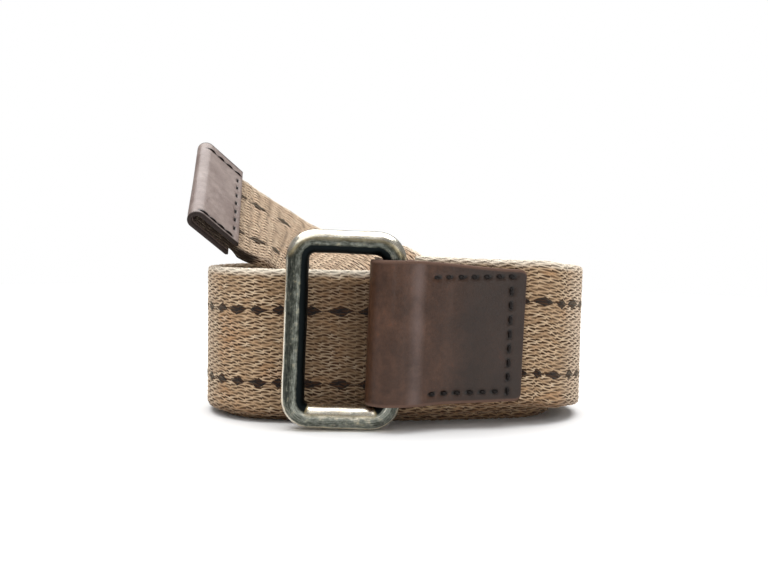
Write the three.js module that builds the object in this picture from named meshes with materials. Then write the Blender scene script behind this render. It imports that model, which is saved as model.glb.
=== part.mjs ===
// A webbing belt with a metal ring, rolled up and standing on its lower edge.
// Millimetres, +Z up. The front of the roll faces -Y, and +X is to its right.
// The strap starts at the ring, goes to the right and winds inward, and its free end
// climbs out of the middle of the roll to the upper left.
// The origin is at the middle of the base.

import * as THREE from 'three';

// Strap
const strapWidth = 38;
const strapThickness = 3;
const selvedgeRound = 1.1;
const restGap = 0.3;
const layerPitch = strapThickness + restGap;
const edgeRoundSteps = 2;

// Roll: the outer face of the turn seen at the front is an oval of four arcs
const rollLength = 100;
const rollDepth = 45;
const rollEndRadius = 20;
const rollTurn = 6;
const rollCentre = new THREE.Vector2(2, 23.5);
const rollSideSteps = 4;
const rollEndSteps = 15;

// The strap winds inward from its start. At the wound angle its outer face lies on the oval. It is
// fully on the spiral from the join angle on, and its inner end moves in from the last layer.
const woundAngle = 630;
const joinAngle = 400;
const coreAngle = 1720;
const coreInset = 1.5;
const lastAngle = 1885;
const tailStepsPerSpan = 3;

// Metal ring
const ringWidth = 29.9;
const ringHeight = 49.4;
const ringBar = 5.9;
const ringBendRadius = 4.4;
const ringBaseGap = 0;
const ringBarPlace = -1.8;
const ringTilt = 1.5;
const ringTurn = -3.2;
const ringRoundness = 3.2;
const ringSectionCorners = 14;
const ringBendSteps = 7;

// Places on the front of the roll are counted to the right from this X
const frontOriginX = 3.4;

// Leather chape round the ring and the start of the strap
const leatherThickness = 2;
const leatherEdgeRound = 0.4;
const chapeEnd = 31;
const chapeLoopStart = -2.1;
const chapeCornerRadius = 3;
const chapeFoldLow = 6.6;
const chapeFoldHigh = 42.6;
const chapeEndLow = 7.1;
const chapeEndHigh = 40.6;
const chapeStepStart = 3.5;
const chapeStepEnd = 13;
const chapeStepSteps = 5;
const chapeLoopSteps = 10;
const chapeLeafSteps = 6;
const chapeCornerSteps = 4;
const chapeCornerSweep = 80;
const barClearance = 0.7;
const strapStart = 3.4;
const strapLeave = 2;

// Leather tip folded over the free end
const tipLength = 15.4;
const tipWidth = 38.6;
const tipThickness = 1.3;
const tipLeadIn = 3;
const tipFoldSteps = 8;
const pressedThickness = 2;

// Height of the strap's lower edge at angles round the roll: 270 is the front of the first turn,
// 360 its right end, 450 its back and 540 its left end.
const lifts = [
  { angle: 270, lift: 6.2 },
  { angle: 286, lift: 5.0 },
  { angle: 310, lift: 3.9 },
  { angle: 360, lift: 2.4 },
  { angle: 450, lift: 2.0 },
  { angle: 540, lift: 1.6 },
  { angle: 634, lift: 1.6 },
  { angle: 646, lift: 2.6 },
  { angle: 665, lift: 3.0 },
  { angle: 720, lift: 2.0 },
  { angle: 900, lift: 0 },
  { angle: 1890, lift: 0 },
];

// Free end: points of the strap's middle line after the roll, each with the direction from the
// strap's lower edge to its upper edge.
const tailStations = [
  { middle: [20, 30, 19.6], edge: [0.08, 0, 1] },
  { middle: [12.4, 28.2, 21.5], edge: [0.33, 0.11, 0.94] },
  { middle: [6.3, 26.8, 24.8], edge: [0.58, 0.25, 0.77] },
  { middle: [0.3, 26.4, 29.9], edge: [0.73, 0.4, 0.55] },
  { middle: [-5.3, 27.4, 35.5], edge: [0.74, 0.55, 0.37] },
  { middle: [-11.8, 30.2, 39.6], edge: [0.64, 0.72, 0.28] },
  { middle: [-19, 33.4, 41.3], edge: [0.43, 0.86, 0.26] },
  { middle: [-26.6, 34.8, 44.1], edge: [0.19, 0.92, 0.34] },
  { middle: [-33.2, 33.2, 48.5], edge: [0.02, 0.91, 0.42] },
];
const tipInnerEdge = { middle: [-42.85, 28, 54.7], edge: [-0.12, 0.82, 0.565] };
const tipDirection = new THREE.Vector3(-0.641, -0.49, 0.59).normalize();

const up = new THREE.Vector3(0, 0, 1);
const radians = THREE.MathUtils.degToRad;

// The four-arc oval: the side radius and the angle where side and end arcs meet follow from the
// roll's length, depth and end radius.
const endCentre = rollLength / 2 - rollEndRadius;
const depthExcess = rollDepth / 2 - rollEndRadius;
const arcGap = (endCentre ** 2 + depthExcess ** 2) / (2 * depthExcess);
const sideRadius = arcGap + rollEndRadius;
const sideHalfAngle = THREE.MathUtils.radToDeg(Math.asin(endCentre / arcGap));
const sideCentre = sideRadius - rollDepth / 2;

// A point on the roll: angle is the outward direction in degrees, and out is the distance outside
// the oval.
function rollPoint(angle, out) {
  const local = THREE.MathUtils.euclideanModulo(angle - rollTurn, 360);
  const arcs = [
    { until: 90 - sideHalfAngle, centre: [endCentre, 0], radius: rollEndRadius },
    { until: 90 + sideHalfAngle, centre: [0, -sideCentre], radius: sideRadius },
    { until: 270 - sideHalfAngle, centre: [-endCentre, 0], radius: rollEndRadius },
    { until: 270 + sideHalfAngle, centre: [0, sideCentre], radius: sideRadius },
    { until: 360, centre: [endCentre, 0], radius: rollEndRadius },
  ];
  const arc = arcs.find((candidate) => local <= candidate.until);
  const reach = arc.radius + out;
  const point = new THREE.Vector2(
    arc.centre[0] + reach * Math.cos(radians(local)),
    arc.centre[1] + reach * Math.sin(radians(local)),
  );
  return point.rotateAround(new THREE.Vector2(), radians(rollTurn)).add(rollCentre);
}

// Outward directions at which the strap gets a section, from the first angle to the last
function rollAngles(first, last) {
  const angles = [first];
  const start = Math.floor(first / 180) * 180;
  for (let half = start; half < last + 180; half += 180) {
    const sideStart = half + 90 - sideHalfAngle + rollTurn;
    for (let i = 0; i < rollSideSteps; i += 1) {
      angles.push(sideStart + (i / rollSideSteps) * 2 * sideHalfAngle);
    }
    const endStart = sideStart + 2 * sideHalfAngle;
    for (let i = 0; i < rollEndSteps; i += 1) {
      angles.push(endStart + (i / rollEndSteps) * (180 - 2 * sideHalfAngle));
    }
  }
  const inside = angles.filter((angle) => angle > first + 0.5 && angle < last - 0.5);
  return [first, ...inside, last];
}

function liftAt(angle) {
  const next = lifts.findIndex((station) => station.angle >= angle);
  const to = lifts[Math.max(next, 1)];
  const from = lifts[Math.max(next, 1) - 1];
  const share = THREE.MathUtils.smoothstep(angle, from.angle, to.angle);
  return THREE.MathUtils.lerp(from.lift, to.lift, share);
}

// The front of the roll, flattened out: s runs to the right from its origin, and out is the
// distance in front of the strap's face.
const frontCentre = new THREE.Vector2(0, sideCentre)
  .rotateAround(new THREE.Vector2(), radians(rollTurn))
  .add(rollCentre);
const frontOriginAngle = 360 - THREE.MathUtils.radToDeg(
  Math.acos((frontOriginX - frontCentre.x) / sideRadius),
);

function frontAngle(s) {
  return frontOriginAngle + THREE.MathUtils.radToDeg(s / sideRadius);
}

function frontPoint(s, out) {
  return rollPoint(frontAngle(s), out);
}

// Distances in front of the strap's face of what lies in the chape
const backLeafOut = restGap + leatherThickness / 2;
const startOut = restGap + leatherThickness + restGap + strapThickness / 2;
const frontLeafOut = startOut + strapThickness / 2 + restGap + leatherThickness / 2;
const barOut = backLeafOut + leatherThickness / 2 + barClearance + ringBar / 2;
const loopRadius = barOut - backLeafOut;
const loopFrontOut = barOut + loopRadius;

// One section per station, joined into one closed solid. Each section lists the same number of
// corners, anticlockwise for someone looking along the path.
function loft(sections, closed) {
  const corners = sections[0].length;
  const positions = sections.flat().flatMap((point) => point.toArray());
  const index = [];
  const spans = closed ? sections.length : sections.length - 1;
  for (let i = 0; i < spans; i += 1) {
    const here = i * corners;
    const next = ((i + 1) % sections.length) * corners;
    for (let j = 0; j < corners; j += 1) {
      const k = (j + 1) % corners;
      index.push(here + j, next + k, here + k);
      index.push(here + j, next + j, next + k);
    }
  }
  if (!closed) {
    const end = (sections.length - 1) * corners;
    for (let j = 1; j < corners - 1; j += 1) {
      index.push(0, j, j + 1);
      index.push(end, end + j + 1, end + j);
    }
  }
  const geometry = new THREE.BufferGeometry();
  geometry.setAttribute('position', new THREE.Float32BufferAttribute(positions, 3));
  geometry.setIndex(index);
  geometry.computeVertexNormals();
  return geometry;
}

// A flat section with rounded edges, as [across, along] pairs
function flatSection(thickness, low, high, round, steps) {
  const side = thickness / 2 - round;
  const corners = [
    [side, low + round, -90],
    [side, high - round, 0],
    [-side, high - round, 90],
    [-side, low + round, 180],
  ];
  return corners.flatMap(([across, along, start]) => Array.from({ length: steps + 1 }, (_, i) => {
    const angle = radians(start + (90 * i) / steps);
    return [across + round * Math.cos(angle), along + round * Math.sin(angle)];
  }));
}

function place(section, { centre, across, along }) {
  return section.map(([a, b]) => centre.clone().addScaledVector(across, a).addScaledVector(along, b));
}

// The section's own directions at a point of a path: along is the width direction nearest to the
// wanted one, and across points out of the outer face.
function frameAt(centre, direction, wanted) {
  const along = wanted.clone().addScaledVector(direction, -wanted.dot(direction)).normalize();
  const across = new THREE.Vector3().crossVectors(direction, along).normalize();
  return { centre, across, along };
}

function directionAt(points, i) {
  const before = points[Math.max(i - 1, 0)];
  const after = points[Math.min(i + 1, points.length - 1)];
  return after.clone().sub(before).normalize();
}

// The strap's middle line: the roll, then the free end up to the leather tip
function strapFrames() {
  const firstAngle = frontAngle(strapStart);
  const leaveAngle = frontAngle(chapeEnd + strapLeave);
  const points = [];
  const wanted = [];
  rollAngles(firstAngle, lastAngle).forEach((angle) => {
    const wound = -strapThickness / 2 + (layerPitch * (woundAngle - angle)) / 360;
    const outside = THREE.MathUtils.smoothstep(angle, leaveAngle, joinAngle);
    const inset = coreInset * THREE.MathUtils.smoothstep(angle, coreAngle, lastAngle);
    const out = THREE.MathUtils.lerp(startOut, wound, outside) - inset;
    const { x, y } = rollPoint(angle, out);
    points.push(new THREE.Vector3(x, y, liftAt(angle) + strapWidth / 2));
    wanted.push(up.clone());
  });

  const stations = [...tailStations, tipInnerEdge];
  const lastTwo = points.slice(-2);
  const tailPoints = tailStations.map(({ middle }) => new THREE.Vector3(...middle));
  tailPoints.push(tipFrameAt(-tipLeadIn, 0).centre);
  const beyond = tipFrameAt(tipLength / 2, 0).centre;
  const curve = new THREE.CatmullRomCurve3([...lastTwo, ...tailPoints, beyond], false, 'centripetal');
  const edges = [up, ...stations.map(({ edge }) => new THREE.Vector3(...edge).normalize())];
  const spans = lastTwo.length + tailPoints.length;
  for (let i = tailStepsPerSpan + 1; i < (spans - 1) * tailStepsPerSpan; i += 1) {
    const span = i / tailStepsPerSpan - 1;
    points.push(curve.getPoint(i / (spans * tailStepsPerSpan)));
    wanted.push(edges[Math.floor(span)].clone().lerp(edges[Math.floor(span) + 1], span % 1));
  }
  return points.map((point, i) => frameAt(point, directionAt(points, i), wanted[i]));
}

// The leather tip and the last stretch of strap are straight, in one frame
const tipFrame = frameAt(
  new THREE.Vector3(...tipInnerEdge.middle),
  tipDirection,
  new THREE.Vector3(...tipInnerEdge.edge).normalize(),
);

function tipFrameAt(distance, out) {
  const centre = tipFrame.centre.clone()
    .addScaledVector(tipDirection, distance)
    .addScaledVector(tipFrame.across, out);
  return { ...tipFrame, centre };
}

const tipLeafOut = pressedThickness / 2 + restGap + tipThickness / 2;
const tipStrapEnd = tipLength - tipLeafOut - tipThickness / 2;

function strapGeometry() {
  const half = strapWidth / 2;
  const full = flatSection(strapThickness, -half, half, selvedgeRound, edgeRoundSteps);
  const pressedRound = (selvedgeRound * pressedThickness) / strapThickness;
  const pressed = flatSection(pressedThickness, -half, half, pressedRound, edgeRoundSteps);
  const sections = [...strapFrames(), tipFrameAt(-tipLeadIn, 0)].map((frame) => place(full, frame));
  sections.push(place(pressed, tipFrameAt(-restGap, 0)), place(pressed, tipFrameAt(tipStrapEnd, 0)));
  return loft(sections, false);
}

// The ring and the chape share a frame at the middle of the ring's bar
const ringCentreZ = ringBaseGap + ringHeight / 2;
const frontTangent = new THREE.Vector3(
  -Math.sin(radians(frontOriginAngle)),
  Math.cos(radians(frontOriginAngle)),
  0,
);
const barAxis = up.clone().multiplyScalar(Math.cos(radians(ringTilt)))
  .addScaledVector(frontTangent, Math.sin(radians(ringTilt)));
const barPlace = frontPoint(ringBarPlace, barOut);
const barCentre = new THREE.Vector3(barPlace.x, barPlace.y, ringCentreZ);

function chapeStations() {
  const stations = [];
  const cornerStart = chapeEnd - chapeCornerRadius;
  for (let i = chapeCornerSteps; i > 0; i -= 1) {
    const turn = radians((chapeCornerSweep * i) / chapeCornerSteps);
    stations.push({ s: cornerStart + chapeCornerRadius * Math.sin(turn), turn });
  }
  for (let i = 0; i < chapeLeafSteps; i += 1) {
    const share = i / chapeLeafSteps;
    stations.push({ s: THREE.MathUtils.lerp(cornerStart, chapeLoopStart, share), turn: 0 });
  }
  return stations;
}

// The chape as [s, out, corner inset] from the end of the back leaf, round the bar, to the end of
// the front leaf.
function chapePath() {
  const leaf = chapeStations().map(({ s, turn }) => (
    { s, inset: chapeCornerRadius * (1 - Math.cos(turn)) }
  ));
  const back = leaf.map(({ s, inset }) => [s, backLeafOut, inset]);
  const loop = Array.from({ length: chapeLoopSteps + 1 }, (_, i) => {
    const turn = radians(90 + (180 * i) / chapeLoopSteps);
    return [
      chapeLoopStart + loopRadius * Math.cos(turn),
      barOut - loopRadius * Math.sin(turn),
      0,
    ];
  });
  const step = Array.from({ length: chapeStepSteps + 1 }, (_, i) => (
    { s: THREE.MathUtils.lerp(chapeStepStart, chapeStepEnd, i / chapeStepSteps), inset: 0 }
  ));
  const front = [
    { s: 0, inset: 0 },
    ...step,
    ...leaf.filter(({ s }) => s > chapeStepEnd + 1).reverse(),
  ];
  const frontLeaf = front.map(({ s, inset }) => {
    const share = THREE.MathUtils.smoothstep(s, chapeStepStart, chapeStepEnd);
    return [s, THREE.MathUtils.lerp(loopFrontOut, frontLeafOut, share), inset];
  });
  return [...back, ...loop, ...frontLeaf];
}

function chapeGeometry() {
  const path = chapePath();
  const points = path.map(([s, out]) => {
    const { x, y } = frontPoint(s, out);
    return new THREE.Vector3(x, y, ringCentreZ);
  });
  const sections = path.map(([s, , inset], i) => {
    const share = THREE.MathUtils.smoothstep(s, 0, chapeEnd);
    const low = THREE.MathUtils.lerp(chapeFoldLow, chapeEndLow, share) + inset - ringCentreZ;
    const high = THREE.MathUtils.lerp(chapeFoldHigh, chapeEndHigh, share) - inset - ringCentreZ;
    const direction = directionAt(points, i);
    const across = new THREE.Vector3().crossVectors(direction, up).normalize();
    const section = flatSection(leatherThickness, low, high, leatherEdgeRound, 1);
    return place(section, { centre: points[i], across, along: barAxis });
  });
  return loft(sections, false);
}

function tipGeometry() {
  const leaf = [0, tipStrapEnd / 2, tipStrapEnd];
  const fold = Array.from({ length: tipFoldSteps + 1 }, (_, i) => {
    const turn = radians(90 - (180 * i) / tipFoldSteps);
    return [tipStrapEnd + tipLeafOut * Math.cos(turn), tipLeafOut * Math.sin(turn), turn];
  });
  const path = [
    ...leaf.slice(0, -1).map((distance) => [distance, tipLeafOut, radians(90)]),
    ...fold,
    ...leaf.slice(0, -1).reverse().map((distance) => [distance, -tipLeafOut, radians(-90)]),
  ];
  const section = flatSection(tipThickness, -tipWidth / 2, tipWidth / 2, leatherEdgeRound, 1);
  const sections = path.map(([distance, out, turn]) => {
    const { centre, along } = tipFrameAt(distance, out);
    const across = tipDirection.clone().multiplyScalar(Math.cos(turn))
      .addScaledVector(tipFrame.across, Math.sin(turn));
    return place(section, { centre, across, along });
  });
  return loft(sections, false);
}

// The ring's bar has a rounded square section
function ringGeometry() {
  const section = Array.from({ length: ringSectionCorners }, (_, i) => {
    const angle = (2 * Math.PI * i) / ringSectionCorners;
    const reach = (value) => Math.sign(value) * Math.abs(value) ** (2 / ringRoundness);
    return [(ringBar / 2) * reach(Math.cos(angle)), (ringBar / 2) * reach(Math.sin(angle))];
  });
  const halfWidth = (ringWidth - ringBar) / 2 - ringBendRadius;
  const halfHeight = (ringHeight - ringBar) / 2 - ringBendRadius;
  const bends = [
    [halfWidth, halfHeight, 0],
    [-halfWidth, halfHeight, 90],
    [-halfWidth, -halfHeight, 180],
    [halfWidth, -halfHeight, 270],
  ];
  const depth = new THREE.Vector3().crossVectors(barAxis, frontTangent).normalize();
  const sideways = frontTangent.clone()
    .addScaledVector(barAxis, -frontTangent.dot(barAxis))
    .normalize()
    .applyAxisAngle(barAxis, radians(ringTurn));
  depth.applyAxisAngle(barAxis, radians(ringTurn));
  const centre = barCentre.clone().addScaledVector(sideways, -(ringWidth - ringBar) / 2);
  const sections = bends.flatMap(([x, z, start]) => (
    Array.from({ length: ringBendSteps + 1 }, (_, i) => {
      const angle = radians(start + (90 * i) / ringBendSteps);
      const outward = sideways.clone().multiplyScalar(Math.cos(angle))
        .addScaledVector(barAxis, Math.sin(angle));
      const point = centre.clone()
        .addScaledVector(sideways, x)
        .addScaledVector(barAxis, z)
        .addScaledVector(outward, ringBendRadius);
      return place(section, { centre: point, across: outward, along: depth.clone().negate() });
    })
  ));
  return loft(sections, true);
}

function piece(name, geometry, colour, roughness, metalness) {
  const material = new THREE.MeshStandardMaterial({ color: colour, roughness, metalness });
  const mesh = new THREE.Mesh(geometry, material);
  mesh.name = name;
  return mesh;
}

const belt = new THREE.Group();
belt.add(piece('webbing_strap', strapGeometry(), 0xb08d63, 0.95, 0));
belt.add(piece('leather_chape', chapeGeometry(), 0x5a4238, 0.6, 0));
belt.add(piece('leather_tip', tipGeometry(), 0x6a5148, 0.6, 0));
belt.add(piece('ring', ringGeometry(), 0x8a8478, 0.4, 1));

// The origin goes to the middle of the base
const box = new THREE.Box3().setFromObject(belt);
const middle = box.getCenter(new THREE.Vector3());
belt.position.set(-middle.x, -middle.y, -box.min.z);

export default belt;
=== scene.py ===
import math

import bpy
import numpy as np
from mathutils import Matrix, Vector


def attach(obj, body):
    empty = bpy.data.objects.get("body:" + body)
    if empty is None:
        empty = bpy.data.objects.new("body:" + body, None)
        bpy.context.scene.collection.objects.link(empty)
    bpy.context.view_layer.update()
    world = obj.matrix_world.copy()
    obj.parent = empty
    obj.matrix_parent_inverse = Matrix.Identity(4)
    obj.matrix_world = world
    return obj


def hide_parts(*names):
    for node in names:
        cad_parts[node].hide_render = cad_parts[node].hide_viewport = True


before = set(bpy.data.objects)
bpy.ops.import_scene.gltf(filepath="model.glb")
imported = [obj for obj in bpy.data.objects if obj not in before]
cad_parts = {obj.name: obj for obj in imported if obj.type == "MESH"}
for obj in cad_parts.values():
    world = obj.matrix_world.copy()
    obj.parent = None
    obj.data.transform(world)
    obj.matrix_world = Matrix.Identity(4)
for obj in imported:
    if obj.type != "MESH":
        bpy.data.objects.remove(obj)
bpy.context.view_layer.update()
print("frame loaded:", ", ".join(sorted(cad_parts)))

# Every size below is in millimetres, with X to the right, Y away from the camera and Z up. The
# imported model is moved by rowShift, so that its origin is at the middle of the base.
rowShift = np.array([0.216, -20.841, 0.0])

# The photograph's own view
camera = {
    "place": (0.0, -210.0, 48.1),
    "pitchDown": 3.5,
    "roll": 1.0,
    "focalPixels": 829,
    "imageWidth": 768,
    "sensorWidth": 36,
    "nearClip": 10,
}

up = np.array([0, 0, 1.0])


def toMetres(points):
    return (np.asarray(points, float) + rowShift) / 1000


def unit(vectors):
    vectors = np.asarray(vectors, float)
    return vectors / np.linalg.norm(vectors, axis=-1, keepdims=True)


def smoothstep(value, low, high):
    share = np.clip((np.asarray(value, float) - low) / (high - low), 0, 1)
    return share * share * (3 - 2 * share)


def newObject(name, data):
    obj = bpy.data.objects.new(name, data)
    bpy.context.scene.collection.objects.link(obj)
    return obj


def makeCamera():
    pitch = math.radians(camera["pitchDown"])
    lean = math.radians(camera["roll"])
    right = Vector((1, 0, 0))
    above = Vector((0, math.sin(pitch), math.cos(pitch)))
    ahead = Vector((0, math.cos(pitch), -math.sin(pitch)))
    camRight = right * math.cos(lean) + above * math.sin(lean)
    camUp = above * math.cos(lean) - right * math.sin(lean)
    data = bpy.data.cameras.new("photoCamera")
    data.sensor_width = camera["sensorWidth"]
    data.lens = camera["focalPixels"] / camera["imageWidth"] * camera["sensorWidth"]
    data.clip_start = camera["nearClip"] / 1000
    obj = newObject("photoCamera", data)
    turned = Matrix((camRight, camUp, -ahead)).transposed().to_4x4()
    obj.matrix_world = Matrix.Translation(Vector(toMetres(camera["place"]))) @ turned
    bpy.context.scene.camera = obj


makeCamera()
print("camera placed")

# The roll is an oval of four arcs, and the strap winds inward on it. Angles are in degrees,
# anticlockwise from above, and each turn of the strap adds 360 to them.
roll = {"length": 100, "depth": 45, "endRadius": 20, "turn": 6, "centre": (2, 23.5)}
# Places on the front of the roll are counted to the right from frontOriginX
frontOriginX = 3.4
strap = {
    "width": 38,
    "thickness": 3,
    "selvedgeRound": 1.1,
    "selvedgePoints": 25,
    "restGap": 0.3,
    "pressedThickness": 2,
    # where it starts and where it turns in towards the roll, to the right, and then angles
    "start": 3.4,
    "leave": 33,
    "joinAngle": 400,
    "woundAngle": 630,
    "coreAngle": 1720,
    "coreInset": 1.5,
    "lastAngle": 1885,
    "beforeLastAngle": 1875.7,
    "angleStep": 0.5,
    "tailSteps": 24,
    "straightStep": 0.4,
    "outerEndAngle": 648,
    "innerEndAngle": 1620,
}
chape = {
    "thickness": 2,
    "end": 31,
    "loopStart": -2.1,
    "cornerRadius": 1.9,
    "foldLow": 6.6,
    "foldHigh": 42.6,
    "endLow": 7.1,
    "endHigh": 40.6,
    "barClearance": 0.7,
    "stepStart": -1,
    "stepEnd": 13,
    "edgeRound": 0.55,
    "faceSteps": 90,
    "leafStep": 0.5,
    "foldSteps": 30,
    "cornerSteps": 14,
    # a band of painted sheen where the front leaf comes down from the bar
    "sheenAt": 3.4,
    "sheenWidth": 1.7,
    # the waxed mark is painted shade toward the right, where the front leaf turns from the light
    "rightShadeRange": (7, 19),
    "endDark": 0.8,
    # depth, length to the right and length upwards of the waves in the leather
    "waves": [(0.07, 4.3, 7.9), (0.05, 2.1, -5.2)],
    "waveInset": 0.09,
}
tip = {
    "length": 15.4,
    "width": 38.6,
    "thickness": 1.3,
    "leadIn": 3,
    "edgeRound": 0.4,
    "faceSteps": 76,
    "leafStep": 0.4,
    "foldSteps": 20,
    "endDark": 0.4,
    "waves": [(0.05, 3.1, 6.3)],
    "waveInset": 0.05,
    "innerEdge": (-42.85, 28, 54.7),
    "innerEdgeUp": (-0.12, 0.82, 0.565),
    "direction": (-0.641, -0.49, 0.59),
}

# Height of the strap's lower edge at angles round the roll
lifts = [
    (270, 6.2), (286, 5.0), (310, 3.9), (360, 2.4), (450, 2.0), (540, 1.6),
    (634, 1.6), (646, 2.6), (665, 3.0), (720, 2.0), (900, 0), (1890, 0),
]

# Free end: points of the strap's middle line, each with the direction to its upper edge
tailStations = [
    ((20, 30, 19.6), (0.08, 0, 1)),
    ((12.4, 28.2, 21.5), (0.33, 0.11, 0.94)),
    ((6.3, 26.8, 24.8), (0.58, 0.25, 0.77)),
    ((0.3, 26.4, 29.9), (0.73, 0.4, 0.55)),
    ((-5.3, 27.4, 35.5), (0.74, 0.55, 0.37)),
    ((-11.8, 30.2, 39.6), (0.64, 0.72, 0.28)),
    ((-19, 33.4, 41.3), (0.43, 0.86, 0.26)),
    ((-26.6, 34.8, 44.1), (0.19, 0.92, 0.34)),
    ((-33.2, 33.2, 48.5), (0.02, 0.91, 0.42)),
]

endCentre = roll["length"] / 2 - roll["endRadius"]
depthExcess = roll["depth"] / 2 - roll["endRadius"]
arcGap = (endCentre**2 + depthExcess**2) / (2 * depthExcess)
sideRadius = arcGap + roll["endRadius"]
sideHalfAngle = math.degrees(math.asin(endCentre / arcGap))
sideCentre = sideRadius - roll["depth"] / 2


def turnedWithRoll(x, y):
    turn = math.radians(roll["turn"])
    return (
        x * math.cos(turn) - y * math.sin(turn) + roll["centre"][0],
        x * math.sin(turn) + y * math.cos(turn) + roll["centre"][1],
    )


def rollPoint(angle, out):
    local = (angle - roll["turn"]) % 360
    arcs = [
        (90 - sideHalfAngle, (endCentre, 0), roll["endRadius"]),
        (90 + sideHalfAngle, (0, -sideCentre), sideRadius),
        (270 - sideHalfAngle, (-endCentre, 0), roll["endRadius"]),
        (270 + sideHalfAngle, (0, sideCentre), sideRadius),
        (360, (endCentre, 0), roll["endRadius"]),
    ]
    centre, radius = next((arc[1], arc[2]) for arc in arcs if local <= arc[0])
    reach = radius + out
    turn = math.radians(local)
    return turnedWithRoll(centre[0] + reach * math.cos(turn), centre[1] + reach * math.sin(turn))


frontCentre = turnedWithRoll(0, sideCentre)
frontOriginAngle = 360 - math.degrees(math.acos((frontOriginX - frontCentre[0]) / sideRadius))

# Distances in front of the strap's face of what lies in the chape
backLeafOut = strap["restGap"] + chape["thickness"] / 2
startOut = backLeafOut + chape["thickness"] / 2 + strap["restGap"] + strap["thickness"] / 2
frontLeafOut = startOut + strap["thickness"] / 2 + strap["restGap"] + chape["thickness"] / 2


def frontAngle(right):
    return frontOriginAngle + math.degrees(right / sideRadius)


def frontPoint(right, out):
    return rollPoint(frontAngle(right), out)


def liftAt(angle):
    for (fromAngle, fromLift), (toAngle, toLift) in zip(lifts, lifts[1:]):
        if angle <= toAngle:
            share = float(smoothstep(angle, fromAngle, toAngle))
            return fromLift + (toLift - fromLift) * share
    return lifts[-1][1]


def strapMiddle(angle):
    pitch = strap["thickness"] + strap["restGap"]
    wound = -strap["thickness"] / 2 + pitch * (strap["woundAngle"] - angle) / 360
    outside = float(smoothstep(angle, frontAngle(strap["leave"]), strap["joinAngle"]))
    inset = strap["coreInset"] * float(smoothstep(angle, strap["coreAngle"], strap["lastAngle"]))
    x, y = rollPoint(angle, startOut + (wound - startOut) * outside - inset)
    return np.array([x, y, liftAt(angle) + strap["width"] / 2])


def frameTo(directions, wanted):
    # along is the width direction nearest to the wanted one, across points out of the outer face
    lean = np.sum(wanted * directions, axis=-1, keepdims=True)
    along = unit(wanted - lean * directions)
    return np.cross(directions, along), along


tipDirection = unit(tip["direction"])
tipAcross, tipAlong = frameTo(tipDirection, unit(tip["innerEdgeUp"]))
tipLeafOut = strap["pressedThickness"] / 2 + strap["restGap"] + tip["thickness"] / 2
tipStrapEnd = tip["length"] - tipLeafOut - tip["thickness"] / 2


def tipPoint(distance, out=0.0):
    return np.array(tip["innerEdge"], float) + tipDirection * distance + tipAcross * out


def stepsTo(start, end, step):
    # even steps and then the end itself, which is at least half a step from the one before
    return np.append(np.arange(start, end - step / 2, step), end)


def curveThrough(points, steps):
    # centripetal curve through all points but the first and the last
    result = []
    for before, start, end, after in zip(points, points[1:], points[2:], points[3:]):
        gapBefore, gap, gapAfter = (
            np.linalg.norm(b - a) ** 0.5 for a, b in ((before, start), (start, end), (end, after))
        )
        leaving = (start - before) / gapBefore - (end - before) / (gapBefore + gap)
        leaving = (leaving + (end - start) / gap) * gap
        arriving = (end - start) / gap - (after - start) / (gap + gapAfter)
        arriving = (arriving + (after - end) / gapAfter) * gap
        for i in range(steps):
            t = i / steps
            result.append(
                start
                + leaving * t
                + (3 * (end - start) - 2 * leaving - arriving) * t**2
                + (2 * (start - end) + leaving + arriving) * t**3
            )
    return result


def strapLine():
    first = frontAngle(strap["start"])
    angles = stepsTo(first, strap["lastAngle"], strap["angleStep"])
    wound = [strapMiddle(angle) for angle in angles]
    keys = [strapMiddle(strap["beforeLastAngle"]), wound[-1]]
    keys += [np.array(middle, float) for middle, _ in tailStations]
    keys += [tipPoint(-tip["leadIn"]), tipPoint(tip["length"] / 2)]
    tail = curveThrough(keys, strap["tailSteps"])
    ups = [up, *(unit(edge) for _, edge in tailStations), unit(tip["innerEdgeUp"])]
    tailUps = []
    for i in range(len(tail)):
        span, step = divmod(i, strap["tailSteps"])
        tailUps.append(ups[span] + (ups[span + 1] - ups[span]) * step / strap["tailSteps"])
    straight = stepsTo(-tip["leadIn"], tipStrapEnd, strap["straightStep"])
    middles = np.array(wound[:-1] + tail + [tipPoint(distance) for distance in straight])
    wanted = np.array([ups[0]] * (len(wound) - 1) + tailUps + [ups[-1]] * len(straight))
    steps = np.linalg.norm(np.diff(middles, axis=0), axis=1)
    lengths = np.concatenate([[0], np.cumsum(steps)])
    directions = unit(np.gradient(middles, lengths, axis=0))
    across, along = frameTo(directions, wanted)
    return lengths, middles, across, along, angles


lengths, middles, acrosses, alongs, rollAngles = strapLine()
strapLength = lengths[-1]


def lengthAt(angle):
    return float(np.interp(angle, rollAngles, lengths[: len(rollAngles)]))


def strapFrames(places):
    frames = []
    for table in (middles, acrosses, alongs):
        frames.append(np.stack([np.interp(places, lengths, table[:, k]) for k in range(3)], -1))
    return frames[0], unit(frames[1]), unit(frames[2])


print("strap line:", round(strapLength), "mm")


def hexColour(code):
    # from an sRGB hex value to linear light
    parts = [int(code[i : i + 2], 16) / 255 for i in (1, 3, 5)]
    linear = [p / 12.92 if p <= 0.04045 else ((p + 0.055) / 1.055) ** 2.4 for p in parts]
    return (*linear, 1.0)


def setInputs(tree, node, values):
    for name, value in values.items():
        if isinstance(value, bpy.types.NodeSocket):
            tree.links.new(value, node.inputs[name])
        else:
            node.inputs[name].default_value = value


def addNode(tree, kind, settings=None, inputs=None):
    node = tree.nodes.new(kind)
    for name, value in (settings or {}).items():
        setattr(node, name, value)
    setInputs(tree, node, inputs or {})
    return node


def addSteps(tree, kind, value, steps):
    # nodes of one type in a row, each with the result of the one before as its first input
    for operation, *others in steps:
        inputs = dict(enumerate([value, *others]))
        value = addNode(tree, kind, {"operation": operation}, inputs).outputs[0]
    return value


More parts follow.
